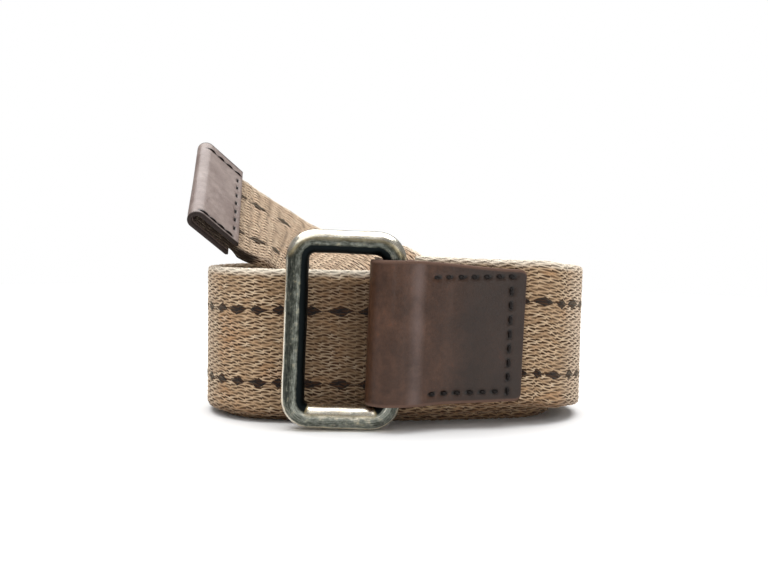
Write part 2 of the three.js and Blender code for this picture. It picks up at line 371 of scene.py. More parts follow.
def setStops(ramp, stops):
    elements = ramp.color_ramp.elements
    while len(elements) < len(stops):
        elements.new(0.5)
    for element, (position, code) in zip(elements, stops):
        element.position = position
        element.color = hexColour(code)
    return ramp.outputs["Color"]


def startMaterial(name):
    material = bpy.data.materials.new(name)
    material.use_nodes = True
    tree = material.node_tree
    return material, tree, tree.nodes["Principled BSDF"]


def sweptMesh(name, rings, mapping=None, closedAlong=False, attributes=None):
    # rings is stations x corners x 3, each ring anticlockwise for someone looking along the path
    stations, corners = rings.shape[:2]
    spans = stations if closedAlong else stations - 1
    i, j = np.meshgrid(np.arange(spans), np.arange(corners), indexing="ij")
    nextI, nextJ = (i + 1) % stations, (j + 1) % corners
    quads = np.stack(
        [i * corners + j, nextI * corners + j, nextI * corners + nextJ, i * corners + nextJ], -1
    ).reshape(-1, 4)
    faces = quads.tolist()
    if not closedAlong:
        faces.append(list(range(corners)))
        faces.append(list(range(stations * corners - 1, (stations - 1) * corners - 1, -1)))
    mesh = bpy.data.meshes.new(name)
    mesh.from_pydata(toMetres(rings.reshape(-1, 3)).tolist(), [], faces)
    smooth = np.ones(len(faces), bool)
    smooth[len(quads) :] = False
    mesh.polygons.foreach_set("use_smooth", smooth)
    if mapping is not None:
        # mapping is stations x (corners + 1) x 2, in millimetres, so that it closes round a ring
        corner = np.stack(
            [mapping[i, j], mapping[i + 1, j], mapping[i + 1, j + 1], mapping[i, j + 1]], 2
        ).reshape(-1, 2)
        if not closedAlong:
            ends = [mapping[0, :-1], mapping[-1, :-1][::-1]]
            corner = np.concatenate([corner, *ends])
        layer = mesh.uv_layers.new(name="surfaceMap")
        layer.data.foreach_set("uv", corner.astype(np.float32).ravel())
    for key, values in (attributes or {}).items():
        attribute = mesh.attributes.new(key, "FLOAT", "POINT")
        attribute.data.foreach_set("value", values.astype(np.float32).ravel())
    mesh.validate()
    mesh.update()
    return newObject(name, mesh)


# Cotton webbing: coarse two-ply yarns that float over each other like lenses in a brick pattern,
# with two rows of dark diamonds woven in on each face.
weave = {
    "floatLength": 4.3,
    "rowPairs": 56,
    "lean": -0.08,
    "lensWidth": 0.8,
    "lensTip": 0.05,
    "reliefDepth": 0.5,
    "reliefProud": 0.1,
    "weakGap": 0.58,
    "slitLength": 0.78,
    "slitWidth": 0.34,
    "slitLean": 0.2,
    "wanderAlong": 0.06,
    "wanderAround": 0.034,
    "wanderWaves": 16,
    "wanderLengths": (3.2, 9.0),
    "wanderTurns": 22,
    "seed": 4,
    "drawnOut": 0.27,
    "dashRow": 9.35,
    "dashLowered": 0.9,
    "dashPitch": 5.4,
    "dashStart": 1.25,
    "dashHalfLength": 2.35,
    "dashHalfHeight": 1.4,
    "dashEdge": 0.3,
    "dashRaised": 0.78,
    "dashSpread": 0.3,
    "dashSpreadFrom": -29.5,
}
# Where the webbing is pressed, and where painted shade and painted light lie on it
marks = {
    # distances back from the chape's end
    "pressedBack": (4, 1),
    "pressedSink": 0.1,
    # painted shade near the tip: lengths before the tip on the lower and the upper edge, and distances
    # in from the edges
    "tipShadeLength": 9,
    "tipShadeUpperLength": 0.5,
    "tipShadeFade": 3,
    "tipShadeBand": (2.6, 1.4),
    # painted shade inside the ring: from left to right on the front of the roll, degrees to fade, and
    # heights above the middle
    "ringShadeSpan": (-31, -9),
    "ringShadeFade": 5,
    "ringShadeTop": (15.2, 17.2),
    # painted light on the free end and the bends: distances back from the tip, and distances to either
    # side of the roll's middle
    "paintedLightLengths": (95, 50),
    "paintedLightBends": (43, 53),
    "paintedLightBendStrength": 2,
}


def strapSection():
    # the strap's outline from the middle of its inner face, down, round the outer face and back
    reach = strap["selvedgeRound"]
    side = strap["thickness"] / 2 - reach
    end = strap["width"] / 2 - reach
    outline = [(-strap["thickness"] / 2, 0.0)]
    corners = [((-side, -end), 180), ((side, -end), 270), ((side, end), 0), ((-side, end), 90)]
    for centre, start in corners:
        for turn in np.radians(np.linspace(start, start + 90, strap["selvedgePoints"])):
            outline.append((centre[0] + reach * math.cos(turn), centre[1] + reach * math.sin(turn)))
    outline.append((-strap["thickness"] / 2, 0.0))
    outline = np.array(outline)
    around = np.concatenate([[0], np.cumsum(np.linalg.norm(np.diff(outline, axis=0), axis=1))])
    tangent = unit(np.gradient(outline, around, axis=0))
    return around, outline, np.stack([tangent[:, 1], -tangent[:, 0]], -1)


sectionAround, sectionOutline, sectionNormals = strapSection()
perimeter = sectionAround[-1]
rowPair = perimeter / weave["rowPairs"]


def wanderWaves():
    # smooth waves in random directions that close round the strap
    random = np.random.default_rng(weave["seed"])
    count = weave["wanderWaves"]
    frequency = 2 * np.pi / random.uniform(*weave["wanderLengths"], count)
    harmonic = random.integers(-weave["wanderTurns"], weave["wanderTurns"] + 1, count)
    phases = random.uniform(0, 2 * np.pi, (2, count))
    return list(zip(frequency, harmonic, phases[0], phases[1]))


yarnWaves = wanderWaves()


def weaveMap(along, around):
    # real yarns wander a little, so the pattern is looked up at wandering places
    turn = 2 * np.pi * around / perimeter
    wanderAlong = wanderAround = 0
    for frequency, harmonic, firstPhase, secondPhase in yarnWaves:
        wave = frequency * along + harmonic * turn
        wanderAlong = wanderAlong + weave["wanderAlong"] * np.sin(wave + firstPhase)
        wanderAround = wanderAround + weave["wanderAround"] * np.sin(wave + secondPhase)
    return along + wanderAlong, around + wanderAround


def yarnHeight(along, around):
    # 1 on top of a float, lower between floats, and 0 in the slits where one ends and the next dives
    lens, places = [], []
    leanShare = weave["lean"] * weave["floatLength"] / rowPair
    for half in (0.0, 0.5):
        x = 2 * ((along / weave["floatLength"] + half) % 1) - 1
        y = 2 * ((around / rowPair + half) % 1) - 1 - leanShare * x
        taper = 1 - x**2
        ratio = y / (weave["lensWidth"] * taper + weave["lensTip"])
        lens.append(np.sqrt(np.maximum(0, (1 - ratio**2) * taper)))
        places.append((x, y))
    slit = 0
    for (x, _), (_, y) in (places, places[::-1]):
        far = (x / weave["slitLength"]) ** 2 + ((y + weave["slitLean"] * x) / weave["slitWidth"]) ** 2
        slit = np.maximum(slit, np.exp(-far))
    return (1 - weave["weakGap"] * (1 - np.maximum(*lens))) * (1 - slit)


def faceHeight(around):
    # height above the strap's middle line, on either face
    return np.abs((around + perimeter / 4) % perimeter - perimeter / 2) - perimeter / 4


def dashShare(along, around):
    y = np.abs(np.abs(faceHeight(around) + weave["dashLowered"]) - weave["dashRow"])
    x = np.abs(((along - weave["dashStart"]) / weave["dashPitch"] + 0.5) % 1 - 0.5) * weave["dashPitch"]
    halfHeight = weave["dashHalfHeight"] * np.maximum(0, 1 - x / weave["dashHalfLength"])
    return np.clip((halfHeight - y) / weave["dashEdge"] + 0.5, 0, 1)


tipStart = strapLength - tipStrapEnd
fadeStart, fadeEnd = (tipStart - back for back in marks["paintedLightLengths"])
spreadStart = lengthAt(frontAngle(weave["dashSpreadFrom"]) + 360)


def strapMarks(places, around, x):
    # painted shade and painted light on the webbing at each of its points
    height = faceHeight(around)
    # painted shade along the edges near the tip, far longer on the lower edge
    bandStart, bandEnd = (perimeter / 4 - inward for inward in marks["tipShadeBand"])
    nearEdge = smoothstep(np.abs(height), bandStart, bandEnd)
    sealed = np.where(height < 0, marks["tipShadeLength"], marks["tipShadeUpperLength"])
    tipShadeFrom = tipStart - sealed
    sealed = smoothstep(places[:, None], tipShadeFrom, tipShadeFrom + marks["tipShadeFade"]) * nearEdge
    # painted shade on the face inside and beside the ring
    turned = np.interp(places, lengths[: len(rollAngles)], rollAngles)
    left, right = (frontAngle(edge) + 360 for edge in marks["ringShadeSpan"])
    soiled = smoothstep(turned, left, left + marks["ringShadeFade"])
    soiled = soiled * (1 - smoothstep(turned, right, right + marks["ringShadeFade"]))
    soiled = soiled[:, None] * (1 - smoothstep(height, *marks["ringShadeTop"]))
    # painted light: the free end, which faces up, is paler than the turns, and so is the webbing where
    # it bends round the ends
    pale = marks["paintedLightBendStrength"] * smoothstep(np.abs(x - roll["centre"][0]), *marks["paintedLightBends"])
    pale = pale * (places < fadeStart)[:, None]
    pale = np.maximum(pale, smoothstep(places, fadeStart, fadeEnd)[:, None])
    return {"tipEdgeShade": sealed, "ringShade": soiled, "paintedLightCotton": pale}


def strapPiece(name, start, end, stepAlong, around):
    places = np.linspace(start, end, int(round((end - start) / stepAlong)) + 1)
    middle, across, along = strapFrames(places)
    a, b, normalA, normalB = (
        np.interp(around, sectionAround, column) for column in (*sectionOutline.T, *sectionNormals.T)
    )
    # the free end is drawn out a little, so that its yarns and dashes are longer
    woven = places - weave["drawnOut"] * np.maximum(0, places - fadeStart)
    mapAlong, mapAround = weaveMap(woven[:, None], np.append(around, perimeter)[None, :])
    height = yarnHeight(mapAlong, mapAround)
    # under the ring the dashes are longer and further apart, up to a shift of two whole pitches
    drift = np.clip(weave["dashSpread"] * (places - spreadStart), 0, 2 * weave["dashPitch"])
    dash = dashShare(mapAlong - drift[:, None], mapAround)
    raised = weave["dashRaised"] + (1 - weave["dashRaised"]) * height
    height = height * (1 - dash) + raised * dash
    relief = weave["reliefProud"] - weave["reliefDepth"] * (1 - height[:, :-1])
    # under the leather tip and in the chape the webbing is pressed flat
    pressed = smoothstep(places, tipStart - tip["leadIn"], tipStart)
    inChape = 1 - smoothstep(places, *(chape["end"] - back for back in marks["pressedBack"]))
    held = np.maximum(pressed, inChape)[:, None]
    relief = np.minimum(relief, relief * (1 - held) - marks["pressedSink"] * held)
    squeeze = 1 - pressed * (1 - strap["pressedThickness"] / strap["thickness"])
    a = a * squeeze[:, None] + relief * normalA
    b = b + relief * normalB
    rings = middle[:, None] + a[..., None] * across[:, None] + b[..., None] * along[:, None]
    obj = sweptMesh(name, rings, np.stack([mapAlong, mapAround], -1), attributes={
        **strapMarks(places, around, rings[..., 0]), "dashDrift": np.repeat(drift, len(around))})
    print(name, len(obj.data.polygons), "faces")
    return obj


def columnsFor(innerStep, outerStep, selvedgeStep):
    # positions round the strap with a spacing for the inner face, the outer face and the selvedges
    faceEnd = strap["width"] / 2 - strap["selvedgeRound"]
    lowerEnd = perimeter / 2 - faceEnd
    bands = [
        (0, faceEnd, innerStep),
        (faceEnd, lowerEnd, selvedgeStep),
        (lowerEnd, perimeter - lowerEnd, outerStep),
        (perimeter - lowerEnd, perimeter - faceEnd, selvedgeStep),
        (perimeter - faceEnd, perimeter, innerStep),
    ]
    columns = []
    for low, high, step in bands:
        columns.append(np.linspace(low, high, max(2, int(round((high - low) / step))) + 1)[:-1])
    return np.concatenate(columns)


# The strap is drawn in three pieces, whose yarns are modelled finely only where they show. Each has
# its steps along the strap, on the inner face, on the outer face and round the selvedges.
strapSteps = {
    "webbing_outer_turn": (0.44, 3.0, 0.31, 0.34),
    "webbing_inner_turns": (0.6, 2.4, 2.4, 0.34),
    "webbing_free_end": (0.5, 0.36, 0.36, 0.36),
}
strapEnds = [0, lengthAt(strap["outerEndAngle"]), lengthAt(strap["innerEndAngle"]), strapLength]
webbingPieces = []
for (name, (stepAlong, *stepsAround)), start, end in zip(strapSteps.items(), strapEnds, strapEnds[1:]):
    webbingPieces.append(strapPiece(name, start, end, stepAlong, columnsFor(*stepsAround)))
print("webbing woven")

# Woven cotton: matt, fuzzy, warm tan, with painted shade in the gaps where the yarns dive under each
# other
cotton = {
    "yarnStops": [(0.0, "#856849"), (0.35, "#B39575"), (0.7, "#CCB394"), (1.0, "#E6D6BF")],
    "rusty": "#A8713C",
    # painted shade in the gaps between the floats
    "gap": "#371F0D",
    # painted highlight on the upper selvedge
    "selvedge": "#FAF0DE",
    # painted shade on the lower selvedge
    "soiled": "#5E4028",
    # painted shade inside the ring
    "ringShade": "#3C2A1B",
    # painted light on the free end and the bends
    "pale": "#F2DFCB",
    "dash": "#0C0B10",
    # painted shade along the lower edge near the tip
    "sealed": "#1B0E07",
    "patchSize": 9,
    # single fibres are far finer, and are drawn as coarse as they need to show
    "fuzzSize": 0.35,
    "strandLength": 1.6,
    "strandWidth": 0.24,
    "strandTurn": 0.13,
    # how much patches, fuzz and strands change the tone of the yarns
    "patchShare": 0.6,
    "fuzzShare": 0.3,
    "strandShare": 0.35,
    "toneRange": (0.3, 0.7),
    "rustyRange": (0.5, 0.72),
    "rustyShare": 0.5,
    "raggedness": 0.5,
    "dashFade": (-0.08, 0.12),
    "dashEndHeight": 0.1,
    # distances in from the upper edge for its painted highlight, and from the lower edge for its painted
    # shade
    "selvedgeHighlightBand": (3.2, 1.5),
    "selvedgeHighlightShare": 0.85,
    "lowerEdgeShadeBand": (2.0, 3.4),
    "lowerEdgeShadeShare": 0.75,
    "paintedLightShare": 0.3,
    "ringShadeShare": 0.6,
    # painted shade in the shallow gaps beside a float, and in the deep ones at their ends, which differ
    # from yarn to yarn
    "shallowShare": 0.62,
    "shallowTop": 0.25,
    "deepRange": (0.16, 0.52),
    "deepShare": (0.6, 1.15),
    "gapShadeLossAtHighlight": 0.55,
    # far enough between the two sets of floats for random numbers of their own
    "setsApart": 3.5,
    "bumpStrength": 0.9,
    "bumpDepth": 0.22,
    "bumpDetail": 0.5,
    "roughness": 0.92,
    "specular": 0.2,
    "sheenWeight": 0.35,
    "sheenRoughness": 0.5,
    "sheenTint": "#E9D9BE",
}


def floatNodes(tree, surface):
    # what yarnHeight makes, for the colour: height of the floats, a number for each, and the slits
    leanShare = weave["lean"] * weave["floatLength"] / rowPair
    heights, yarns, places = [], [], []
    for half in (0.0, 0.5):
        cell = addSteps(tree, "ShaderNodeVectorMath", surface, [
            ("MULTIPLY_ADD", (1 / weave["floatLength"], 1 / rowPair, 0), (half, half, 0))])
        local = addSteps(tree, "ShaderNodeVectorMath", cell, [
            ("FRACTION",), ("MULTIPLY_ADD", (2, 2, 0), (-1, -1, 0))])
        x, y, _ = addNode(tree, "ShaderNodeSeparateXYZ", None, {0: local}).outputs
        taper = addSteps(tree, "ShaderNodeMath", x, [("MULTIPLY", x), ("MULTIPLY_ADD", -1.0, 1.0)])
        leaned = addSteps(tree, "ShaderNodeMath", x, [("MULTIPLY_ADD", -leanShare, y)])
        places.append((x, leaned))
        width = addSteps(tree, "ShaderNodeMath", taper, [
            ("MULTIPLY_ADD", weave["lensWidth"], weave["lensTip"])])
        ratio = addSteps(tree, "ShaderNodeMath", leaned, [("DIVIDE", width)])
        heights.append(addSteps(tree, "ShaderNodeMath", ratio, [
            ("MULTIPLY", ratio), ("MULTIPLY_ADD", -1.0, 1.0), ("MULTIPLY", taper), ("MAXIMUM", 0.0),
            ("SQRT",)]))
        number = addSteps(tree, "ShaderNodeVectorMath", cell, [
            ("FLOOR",), ("ADD", (0, 0, 2 * half * cotton["setsApart"]))])
        yarns.append(addNode(tree, "ShaderNodeTexWhiteNoise", None, {"Vector": number}).outputs["Value"])
    onTop = addSteps(tree, "ShaderNodeMath", heights[1], [("GREATER_THAN", heights[0])])
    yarn = addNode(tree, "ShaderNodeMix", None, {
        "Factor": onTop, "A": yarns[0], "B": yarns[1]}).outputs["Result"]
    height = addSteps(tree, "ShaderNodeMath", heights[0], [
        ("MAXIMUM", heights[1]), ("MULTIPLY_ADD", weave["weakGap"], 1 - weave["weakGap"])])

    # the slits where floats end, from along one set of floats and across the other
    slits = []
    for (x, _), (_, y) in (places, places[::-1]):
        across = addSteps(tree, "ShaderNodeMath", x, [("MULTIPLY_ADD", weave["slitLean"], y)])
        off = addNode(tree, "ShaderNodeCombineXYZ", None, {0: x, 1: across}).outputs[0]
        off = addSteps(tree, "ShaderNodeVectorMath", off, [
            ("MULTIPLY", (1 / weave["slitLength"], 1 / weave["slitWidth"], 0))])
        far = addNode(tree, "ShaderNodeVectorMath", {"operation": "DOT_PRODUCT"}, {0: off, 1: off})
        slits.append(addSteps(tree, "ShaderNodeMath", far.outputs["Value"], [
            ("MULTIPLY", -1.0), ("EXPONENT",)]))
    return height, yarn, addSteps(tree, "ShaderNodeMath", slits[0], [("MAXIMUM", slits[1])])


def dashNodes(tree, surface, fuzz):
    # what dashShare makes, for the colour, with ragged edges, and the height on the strap's face
    along, around, _ = addNode(tree, "ShaderNodeSeparateXYZ", None, {0: surface}).outputs
    height = addSteps(tree, "ShaderNodeMath", around, [
        ("ADD", perimeter / 4), ("MODULO", perimeter), ("SUBTRACT", perimeter / 2), ("ABSOLUTE",),
        ("SUBTRACT", perimeter / 4)])
    offRow = addSteps(tree, "ShaderNodeMath", height, [
        ("ADD", weave["dashLowered"]), ("ABSOLUTE",), ("SUBTRACT", weave["dashRow"]), ("ABSOLUTE",)])
    drift = addNode(tree, "ShaderNodeAttribute", {"attribute_name": "dashDrift"}).outputs["Fac"]
    pitch = weave["dashPitch"]
    narrowing = pitch * weave["dashHalfHeight"] / weave["dashHalfLength"]
    halfHeight = addSteps(tree, "ShaderNodeMath", along, [
        ("SUBTRACT", drift), ("MULTIPLY_ADD", 1 / pitch, 0.5 - weave["dashStart"] / pitch),
        ("FRACT",), ("SUBTRACT", 0.5), ("ABSOLUTE",),
        ("MULTIPLY_ADD", -narrowing, weave["dashHalfHeight"]), ("MAXIMUM", cotton["dashEndHeight"])])
    ragged = addSteps(tree, "ShaderNodeMath", fuzz, [
        ("MULTIPLY_ADD", cotton["raggedness"], -cotton["raggedness"] / 2)])
    margin = addSteps(tree, "ShaderNodeMath", halfHeight, [("SUBTRACT", offRow), ("ADD", ragged)])
    fadeLow, fadeHigh = cotton["dashFade"]
    dash = addNode(tree, "ShaderNodeMapRange", None, {
        "Value": margin, "From Min": fadeLow, "From Max": fadeHigh}).outputs["Result"]
    return dash, height


def gapNodes(tree, height, yarn, slit, selvedge):
    # painted shade in the gaps: shallow beside the floats and deep at their ends
    shallow = addNode(tree, "ShaderNodeMapRange", None, {
        "Value": height, "From Min": 1 - weave["weakGap"],
        "From Max": 1 - cotton["shallowTop"] * weave["weakGap"],
        "To Min": cotton["shallowShare"], "To Max": 0.0}).outputs["Result"]
    least, most = cotton["deepShare"]
    uneven = addSteps(tree, "ShaderNodeMath", yarn, [("MULTIPLY_ADD", most - least, least)])
    deepLow, deepHigh = cotton["deepRange"]
    deep = addNode(tree, "ShaderNodeMapRange", None, {
        "Value": slit, "From Min": deepLow, "From Max": deepHigh}).outputs["Result"]
    deep = addSteps(tree, "ShaderNodeMath", deep, [("MULTIPLY", uneven)])
    gap = addNode(tree, "ShaderNodeMath", {"operation": "MAXIMUM", "use_clamp": True}, {
        0: deep, 1: shallow}).outputs[0]
    # less painted shade in the gaps under the painted selvedge highlight
    kept = addSteps(tree, "ShaderNodeMath", selvedge, [
        ("MULTIPLY_ADD", -cotton["gapShadeLossAtHighlight"], 1.0)])
    return addSteps(tree, "ShaderNodeMath", gap, [("MULTIPLY", kept)])


def cottonMaterial():
    material, tree, shader = startMaterial("woven cotton webbing")
    surface = addNode(tree, "ShaderNodeUVMap", {"uv_map": "surfaceMap"}).outputs[0]
    place = addNode(tree, "ShaderNodeTexCoord").outputs["Object"]
    height, yarn, slit = floatNodes(tree, surface)

    # slow patches along the strap, fine fuzz, and loose fibres that run along the yarns
    patch = addNode(tree, "ShaderNodeTexNoise", None, {
        "Vector": place, "Scale": 1000 / cotton["patchSize"], "Detail": 2.0}).outputs["Fac"]
    fuzz = addNode(tree, "ShaderNodeTexNoise", None, {
        "Vector": place, "Scale": 1000 / cotton["fuzzSize"], "Detail": 3.0,
        "Roughness": 0.65}).outputs["Fac"]
    drawn = addNode(tree, "ShaderNodeMapping", None, {
        "Vector": surface, "Rotation": (0, 0, cotton["strandTurn"]),
        "Scale": (1 / cotton["strandLength"], 1 / cotton["strandWidth"], 1)}).outputs[0]
    strand = addNode(tree, "ShaderNodeTexNoise", None, {
        "Vector": drawn, "Scale": 1.0, "Detail": 3.0, "Roughness": 0.6}).outputs["Fac"]
    tone = yarn
    for share, change in (("patchShare", patch), ("fuzzShare", fuzz), ("strandShare", strand)):
        tone = addNode(tree, "ShaderNodeMix", None, {
            "Factor": cotton[share], "A": tone, "B": change}).outputs["Result"]
    toneLow, toneHigh = cotton["toneRange"]
    tone = addNode(tree, "ShaderNodeMapRange", None, {
        "Value": tone, "From Min": toneLow, "From Max": toneHigh}).outputs["Result"]
    colour = setStops(addNode(tree, "ShaderNodeValToRGB", None, {"Fac": tone}), cotton["yarnStops"])
    rustyLow, rustyHigh = cotton["rustyRange"]
    rusty = addNode(tree, "ShaderNodeMapRange", None, {
        "Value": patch, "From Min": rustyLow, "From Max": rustyHigh,
        "To Max": cotton["rustyShare"]}).outputs["Result"]

    # painted highlight on the upper selvedge, where it faces the light from above, and painted shade on
    # the lower one
    dash, faceUp = dashNodes(tree, surface, fuzz)
    highlightStart, highlightEnd = (perimeter / 4 - inward for inward in cotton["selvedgeHighlightBand"])
    selvedge = addNode(tree, "ShaderNodeMapRange", None, {
        "Value": faceUp, "From Min": highlightStart, "From Max": highlightEnd,
        "To Max": cotton["selvedgeHighlightShare"]}).outputs["Result"]
    # painted shade on the lower selvedge
    lowerShadeStart, lowerShadeEnd = (inward - perimeter / 4 for inward in cotton["lowerEdgeShadeBand"])
    soiled = addNode(tree, "ShaderNodeMapRange", None, {
        "Value": faceUp, "From Min": lowerShadeStart, "From Max": lowerShadeEnd,
        "To Min": cotton["lowerEdgeShadeShare"], "To Max": 0.0}).outputs["Result"]
    marked = []
    # painted light on the free end and the bends, and painted shade inside the ring
    for key, share in (("paintedLightCotton", "paintedLightShare"), ("ringShade", "ringShadeShare")):
        mark = addNode(tree, "ShaderNodeAttribute", {"attribute_name": key}).outputs["Fac"]
        marked.append(addSteps(tree, "ShaderNodeMath", mark, [("MULTIPLY", cotton[share])]))
    # painted shade along the lower edge near the tip
    sealed = addNode(tree, "ShaderNodeAttribute", {"attribute_name": "tipEdgeShade"}).outputs["Fac"]
    gap = gapNodes(tree, height, yarn, slit, selvedge)
    # each layer of colour lies over the ones before it
    for share, key in (
        (rusty, "rusty"), (selvedge, "selvedge"), (soiled, "soiled"), (marked[0], "pale"),
        (marked[1], "ringShade"), (dash, "dash"), (gap, "gap"), (sealed, "sealed"),
    ):
        colour = addNode(tree, "ShaderNodeMix", {"data_type": "RGBA"}, {
            "Factor": share, 6: colour, 7: hexColour(cotton[key])}).outputs[2]

    fine = addSteps(tree, "ShaderNodeMath", height, [("SUBTRACT", slit)])
    for detail in (strand, fuzz):
        fine = addSteps(tree, "ShaderNodeMath", detail, [("MULTIPLY_ADD", cotton["bumpDetail"], fine)])
    bump = addNode(tree, "ShaderNodeBump", None, {
        "Strength": cotton["bumpStrength"], "Distance": cotton["bumpDepth"] / 1000,
        "Height": fine}).outputs[0]
    setInputs(tree, shader, {
        "Base Color": colour, "Normal": bump, "Roughness": cotton["roughness"],
        "Specular IOR Level": cotton["specular"], "Sheen Weight": cotton["sheenWeight"],
        "Sheen Roughness": cotton["sheenRoughness"], "Sheen Tint": hexColour(cotton["sheenTint"])})
    return material


cottonFinish = cottonMaterial()
for piece in webbingPieces:
    piece.data.materials.append(cottonFinish)
print("cotton finished")


# The ring, cast and then antiqued
ring = {
    "width": 29.9,
    "height": 49.4,
    "bar": 5.9,
    "bendRadius": 4.4,
    # the bar's place to the right on the front of the roll, and degrees
    "place": -1.8,
    "tilt": 1.5,
    "turn": -3.2,
    "roundness": 2.5,
    "corners": 56,
    "bendSteps": 18,
    "sideSteps": 34,
    # how far a side faces up before it gets a painted highlight, and how straight a bar is to get it
    # there
    "upwardRange": (0.01, 0.3),
    "straightRange": (0.9, 1.0),
    # brightness of the painted highlight where a side faces up
    "paintedTopHighlight": 0.39,
    # how much lighter the bottom bar is made, up to these heights
    "lighterFoot": 0.12,
    "footHeights": (4, 9),
    # depth in millimetres, length along the bar, turns round it and phase of two slow waves
    "unevenWaves": [(0.035, 3.1, 2, 0.0), (0.02, 1.3, -3, 1.0)],
    "unevenInset": 0.06,
    # degrees round the bar from its outer side, by way of its front, and how bright it is there, partly
    # from real wear and patina and partly painted light and shade
    "wearAndLight": [(0, 0.36), (22, 0.44), (36, 0.4), (48, 0.0), (78, -0.02), (88, 0.08), (100, 0.15),
             (110, -0.2), (118, -0.55), (204, -0.55), (225, 0.0), (270, 0.05), (318, 0.2), (360, 0.12)],
}
barOut = backLeafOut + chape["thickness"] / 2 + chape["barClearance"] + ring["bar"] / 2
ringCentreZ = ring["height"] / 2
originTurn = math.radians(frontOriginAngle)
frontTangent = np.array([-math.sin(originTurn), math.cos(originTurn), 0])
tilt = math.radians(ring["tilt"])
barAxis = up * math.cos(tilt) + frontTangent * math.sin(tilt)
barCentre = np.array([*frontPoint(ring["place"], barOut), ringCentreZ])


def aboutBar(vector, degrees):
    turn = Matrix.Rotation(math.radians(degrees), 3, Vector(barAxis))
    return np.array(turn @ Vector(vector))


def ringPath():
    # the middle of the bar all the way round, the way out of the frame at each place, and the back
    sideways = unit(frontTangent - np.dot(frontTangent, barAxis) * barAxis)
    back = aboutBar(unit(np.cross(barAxis, frontTangent)), ring["turn"])
    sideways = aboutBar(sideways, ring["turn"])
    centre = barCentre - sideways * (ring["width"] - ring["bar"]) / 2
    halfWidth = (ring["width"] - ring["bar"]) / 2 - ring["bendRadius"]
    halfHeight = (ring["height"] - ring["bar"]) / 2 - ring["bendRadius"]
    bends = [(halfWidth, halfHeight, 0), (-halfWidth, halfHeight, 90),
             (-halfWidth, -halfHeight, 180), (halfWidth, -halfHeight, 270)]
    places, outwards = [], []
    for (x, z, start), (nextX, nextZ, _) in zip(bends, bends[1:] + bends[:1]):
        for turn in np.radians(np.linspace(start, start + 90, ring["bendSteps"] + 1)):
            outward = sideways * math.cos(turn) + barAxis * math.sin(turn)
            places.append(centre + sideways * x + barAxis * z + outward * ring["bendRadius"])
            outwards.append(outward)
        leave = places[-1]
        arrive = centre + sideways * nextX + barAxis * nextZ + outward * ring["bendRadius"]
        for share in np.linspace(0, 1, ring["sideSteps"] + 1)[1:-1]:
            places.append(leave + (arrive - leave) * share)
            outwards.append(outward)
    return np.array(places), np.array(outwards), back


def ringWear(places, outwards, back, turns, a, b):
    # bright on the outer side and dark on the inner side, partly from real wear and patina and partly
    # painted light and shade, with a painted highlight wherever it faces up
    wearAndLight = np.interp(np.degrees(turns), *zip(*ring["wearAndLight"]))
    steep = ring["roundness"] - 1
    leanOut, leanFront = (np.sign(half) * np.abs(half) ** steep for half in (a[:, None], b[:, None]))
    facing = unit(leanOut * outwards[:, None] - leanFront * back)
    # a painted highlight wherever a side faces up
    upward = smoothstep(facing[..., 2], *ring["upwardRange"])
    # the two lower bends get no painted highlight, and keep their dark finish inside
    straight = smoothstep(np.abs(outwards[:, 2]), *ring["straightRange"])
    upward *= np.where(places[:, 2] < ringCentreZ, straight, 1.0)[:, None]
    wearAndLight = wearAndLight * (1 - upward) + ring["paintedTopHighlight"] * upward
    # the bottom bar is made lighter all over
    foot = 1 - smoothstep(places[:, 2], *ring["footHeights"])
    wearAndLight += ring["lighterFoot"] * foot[:, None] * (1 - upward)
    # brass tint, the metal's own colour, where the painted top highlight is half as strong as it gets
    return {"wearAndPaintedLight": wearAndLight, "brassBesideHighlight": 4 * upward * (1 - upward)}


def ringPiece():
    places, outwards, back = ringPath()
    turns = np.linspace(0, 2 * np.pi, ring["corners"] + 1)
    power = 2 / ring["roundness"]
    waves = np.cos(turns), np.sin(turns)
    a, b = (ring["bar"] / 2 * np.sign(wave) * np.abs(wave) ** power for wave in waves)
    steps = np.linalg.norm(np.diff(places, axis=0, append=places[:1]), axis=1)
    run = np.concatenate([[0], np.cumsum(steps)])
    around = np.concatenate([[0], np.cumsum(np.hypot(np.diff(a), np.diff(b)))])
    mapping = np.stack(np.broadcast_arrays(run[:, None], around[None, :]), -1)
    turns, a, b = turns[:-1], a[:-1], b[:-1]
    # a cast and tumbled bar is never quite even
    uneven = sum(
        depth * np.sin(run[:-1, None] / length + count * turns + phase)
        for depth, length, count, phase in ring["unevenWaves"]
    )
    reach = 1 + (uneven - ring["unevenInset"]) / (ring["bar"] / 2)
    rings = places[:, None] + (a * reach)[..., None] * outwards[:, None] - (b * reach)[..., None] * back
    obj = sweptMesh("antiqued_ring", rings, mapping, closedAlong=True,
                    attributes=ringWear(places, outwards, back, turns, a, b))
    print("ring", len(obj.data.polygons), "faces")
    return obj


# Antiqued pewter plating on brass: blackened in its hollows, rubbed bright on corners, streaked
# along the bar by polishing. Its stops go from the patina, by way of dull and clean pewter, to bare
# bright metal.
# Its bright end also serves as the painted highlight where the bar faces up, and its darkest end partly
# as painted shade on the inner side.
metal = {
    "stops": [(0.0, "#15191A"), (0.35, "#484A43"), (0.7, "#888B82"), (1.0, "#EFE8D8")],
    "brass": "#C9B487",
    "streakLength": 2.6,
    "streakWidth": 0.34,
    "blotchSize": 1.5,
    "blotchShare": 0.4,
    "pitSize": 0.5,
    "pitShare": 0.35,
    "lightenedRange": (0.36, 0.88),
    "brassByWearAndLight": 0.35,
    "brassRange": (0.6, 0.9),
    "brassShare": 0.5,
    "roughness": (0.5, 0.24),
    "bumpStrength": 0.55,
    "bumpDepth": 0.08,
}


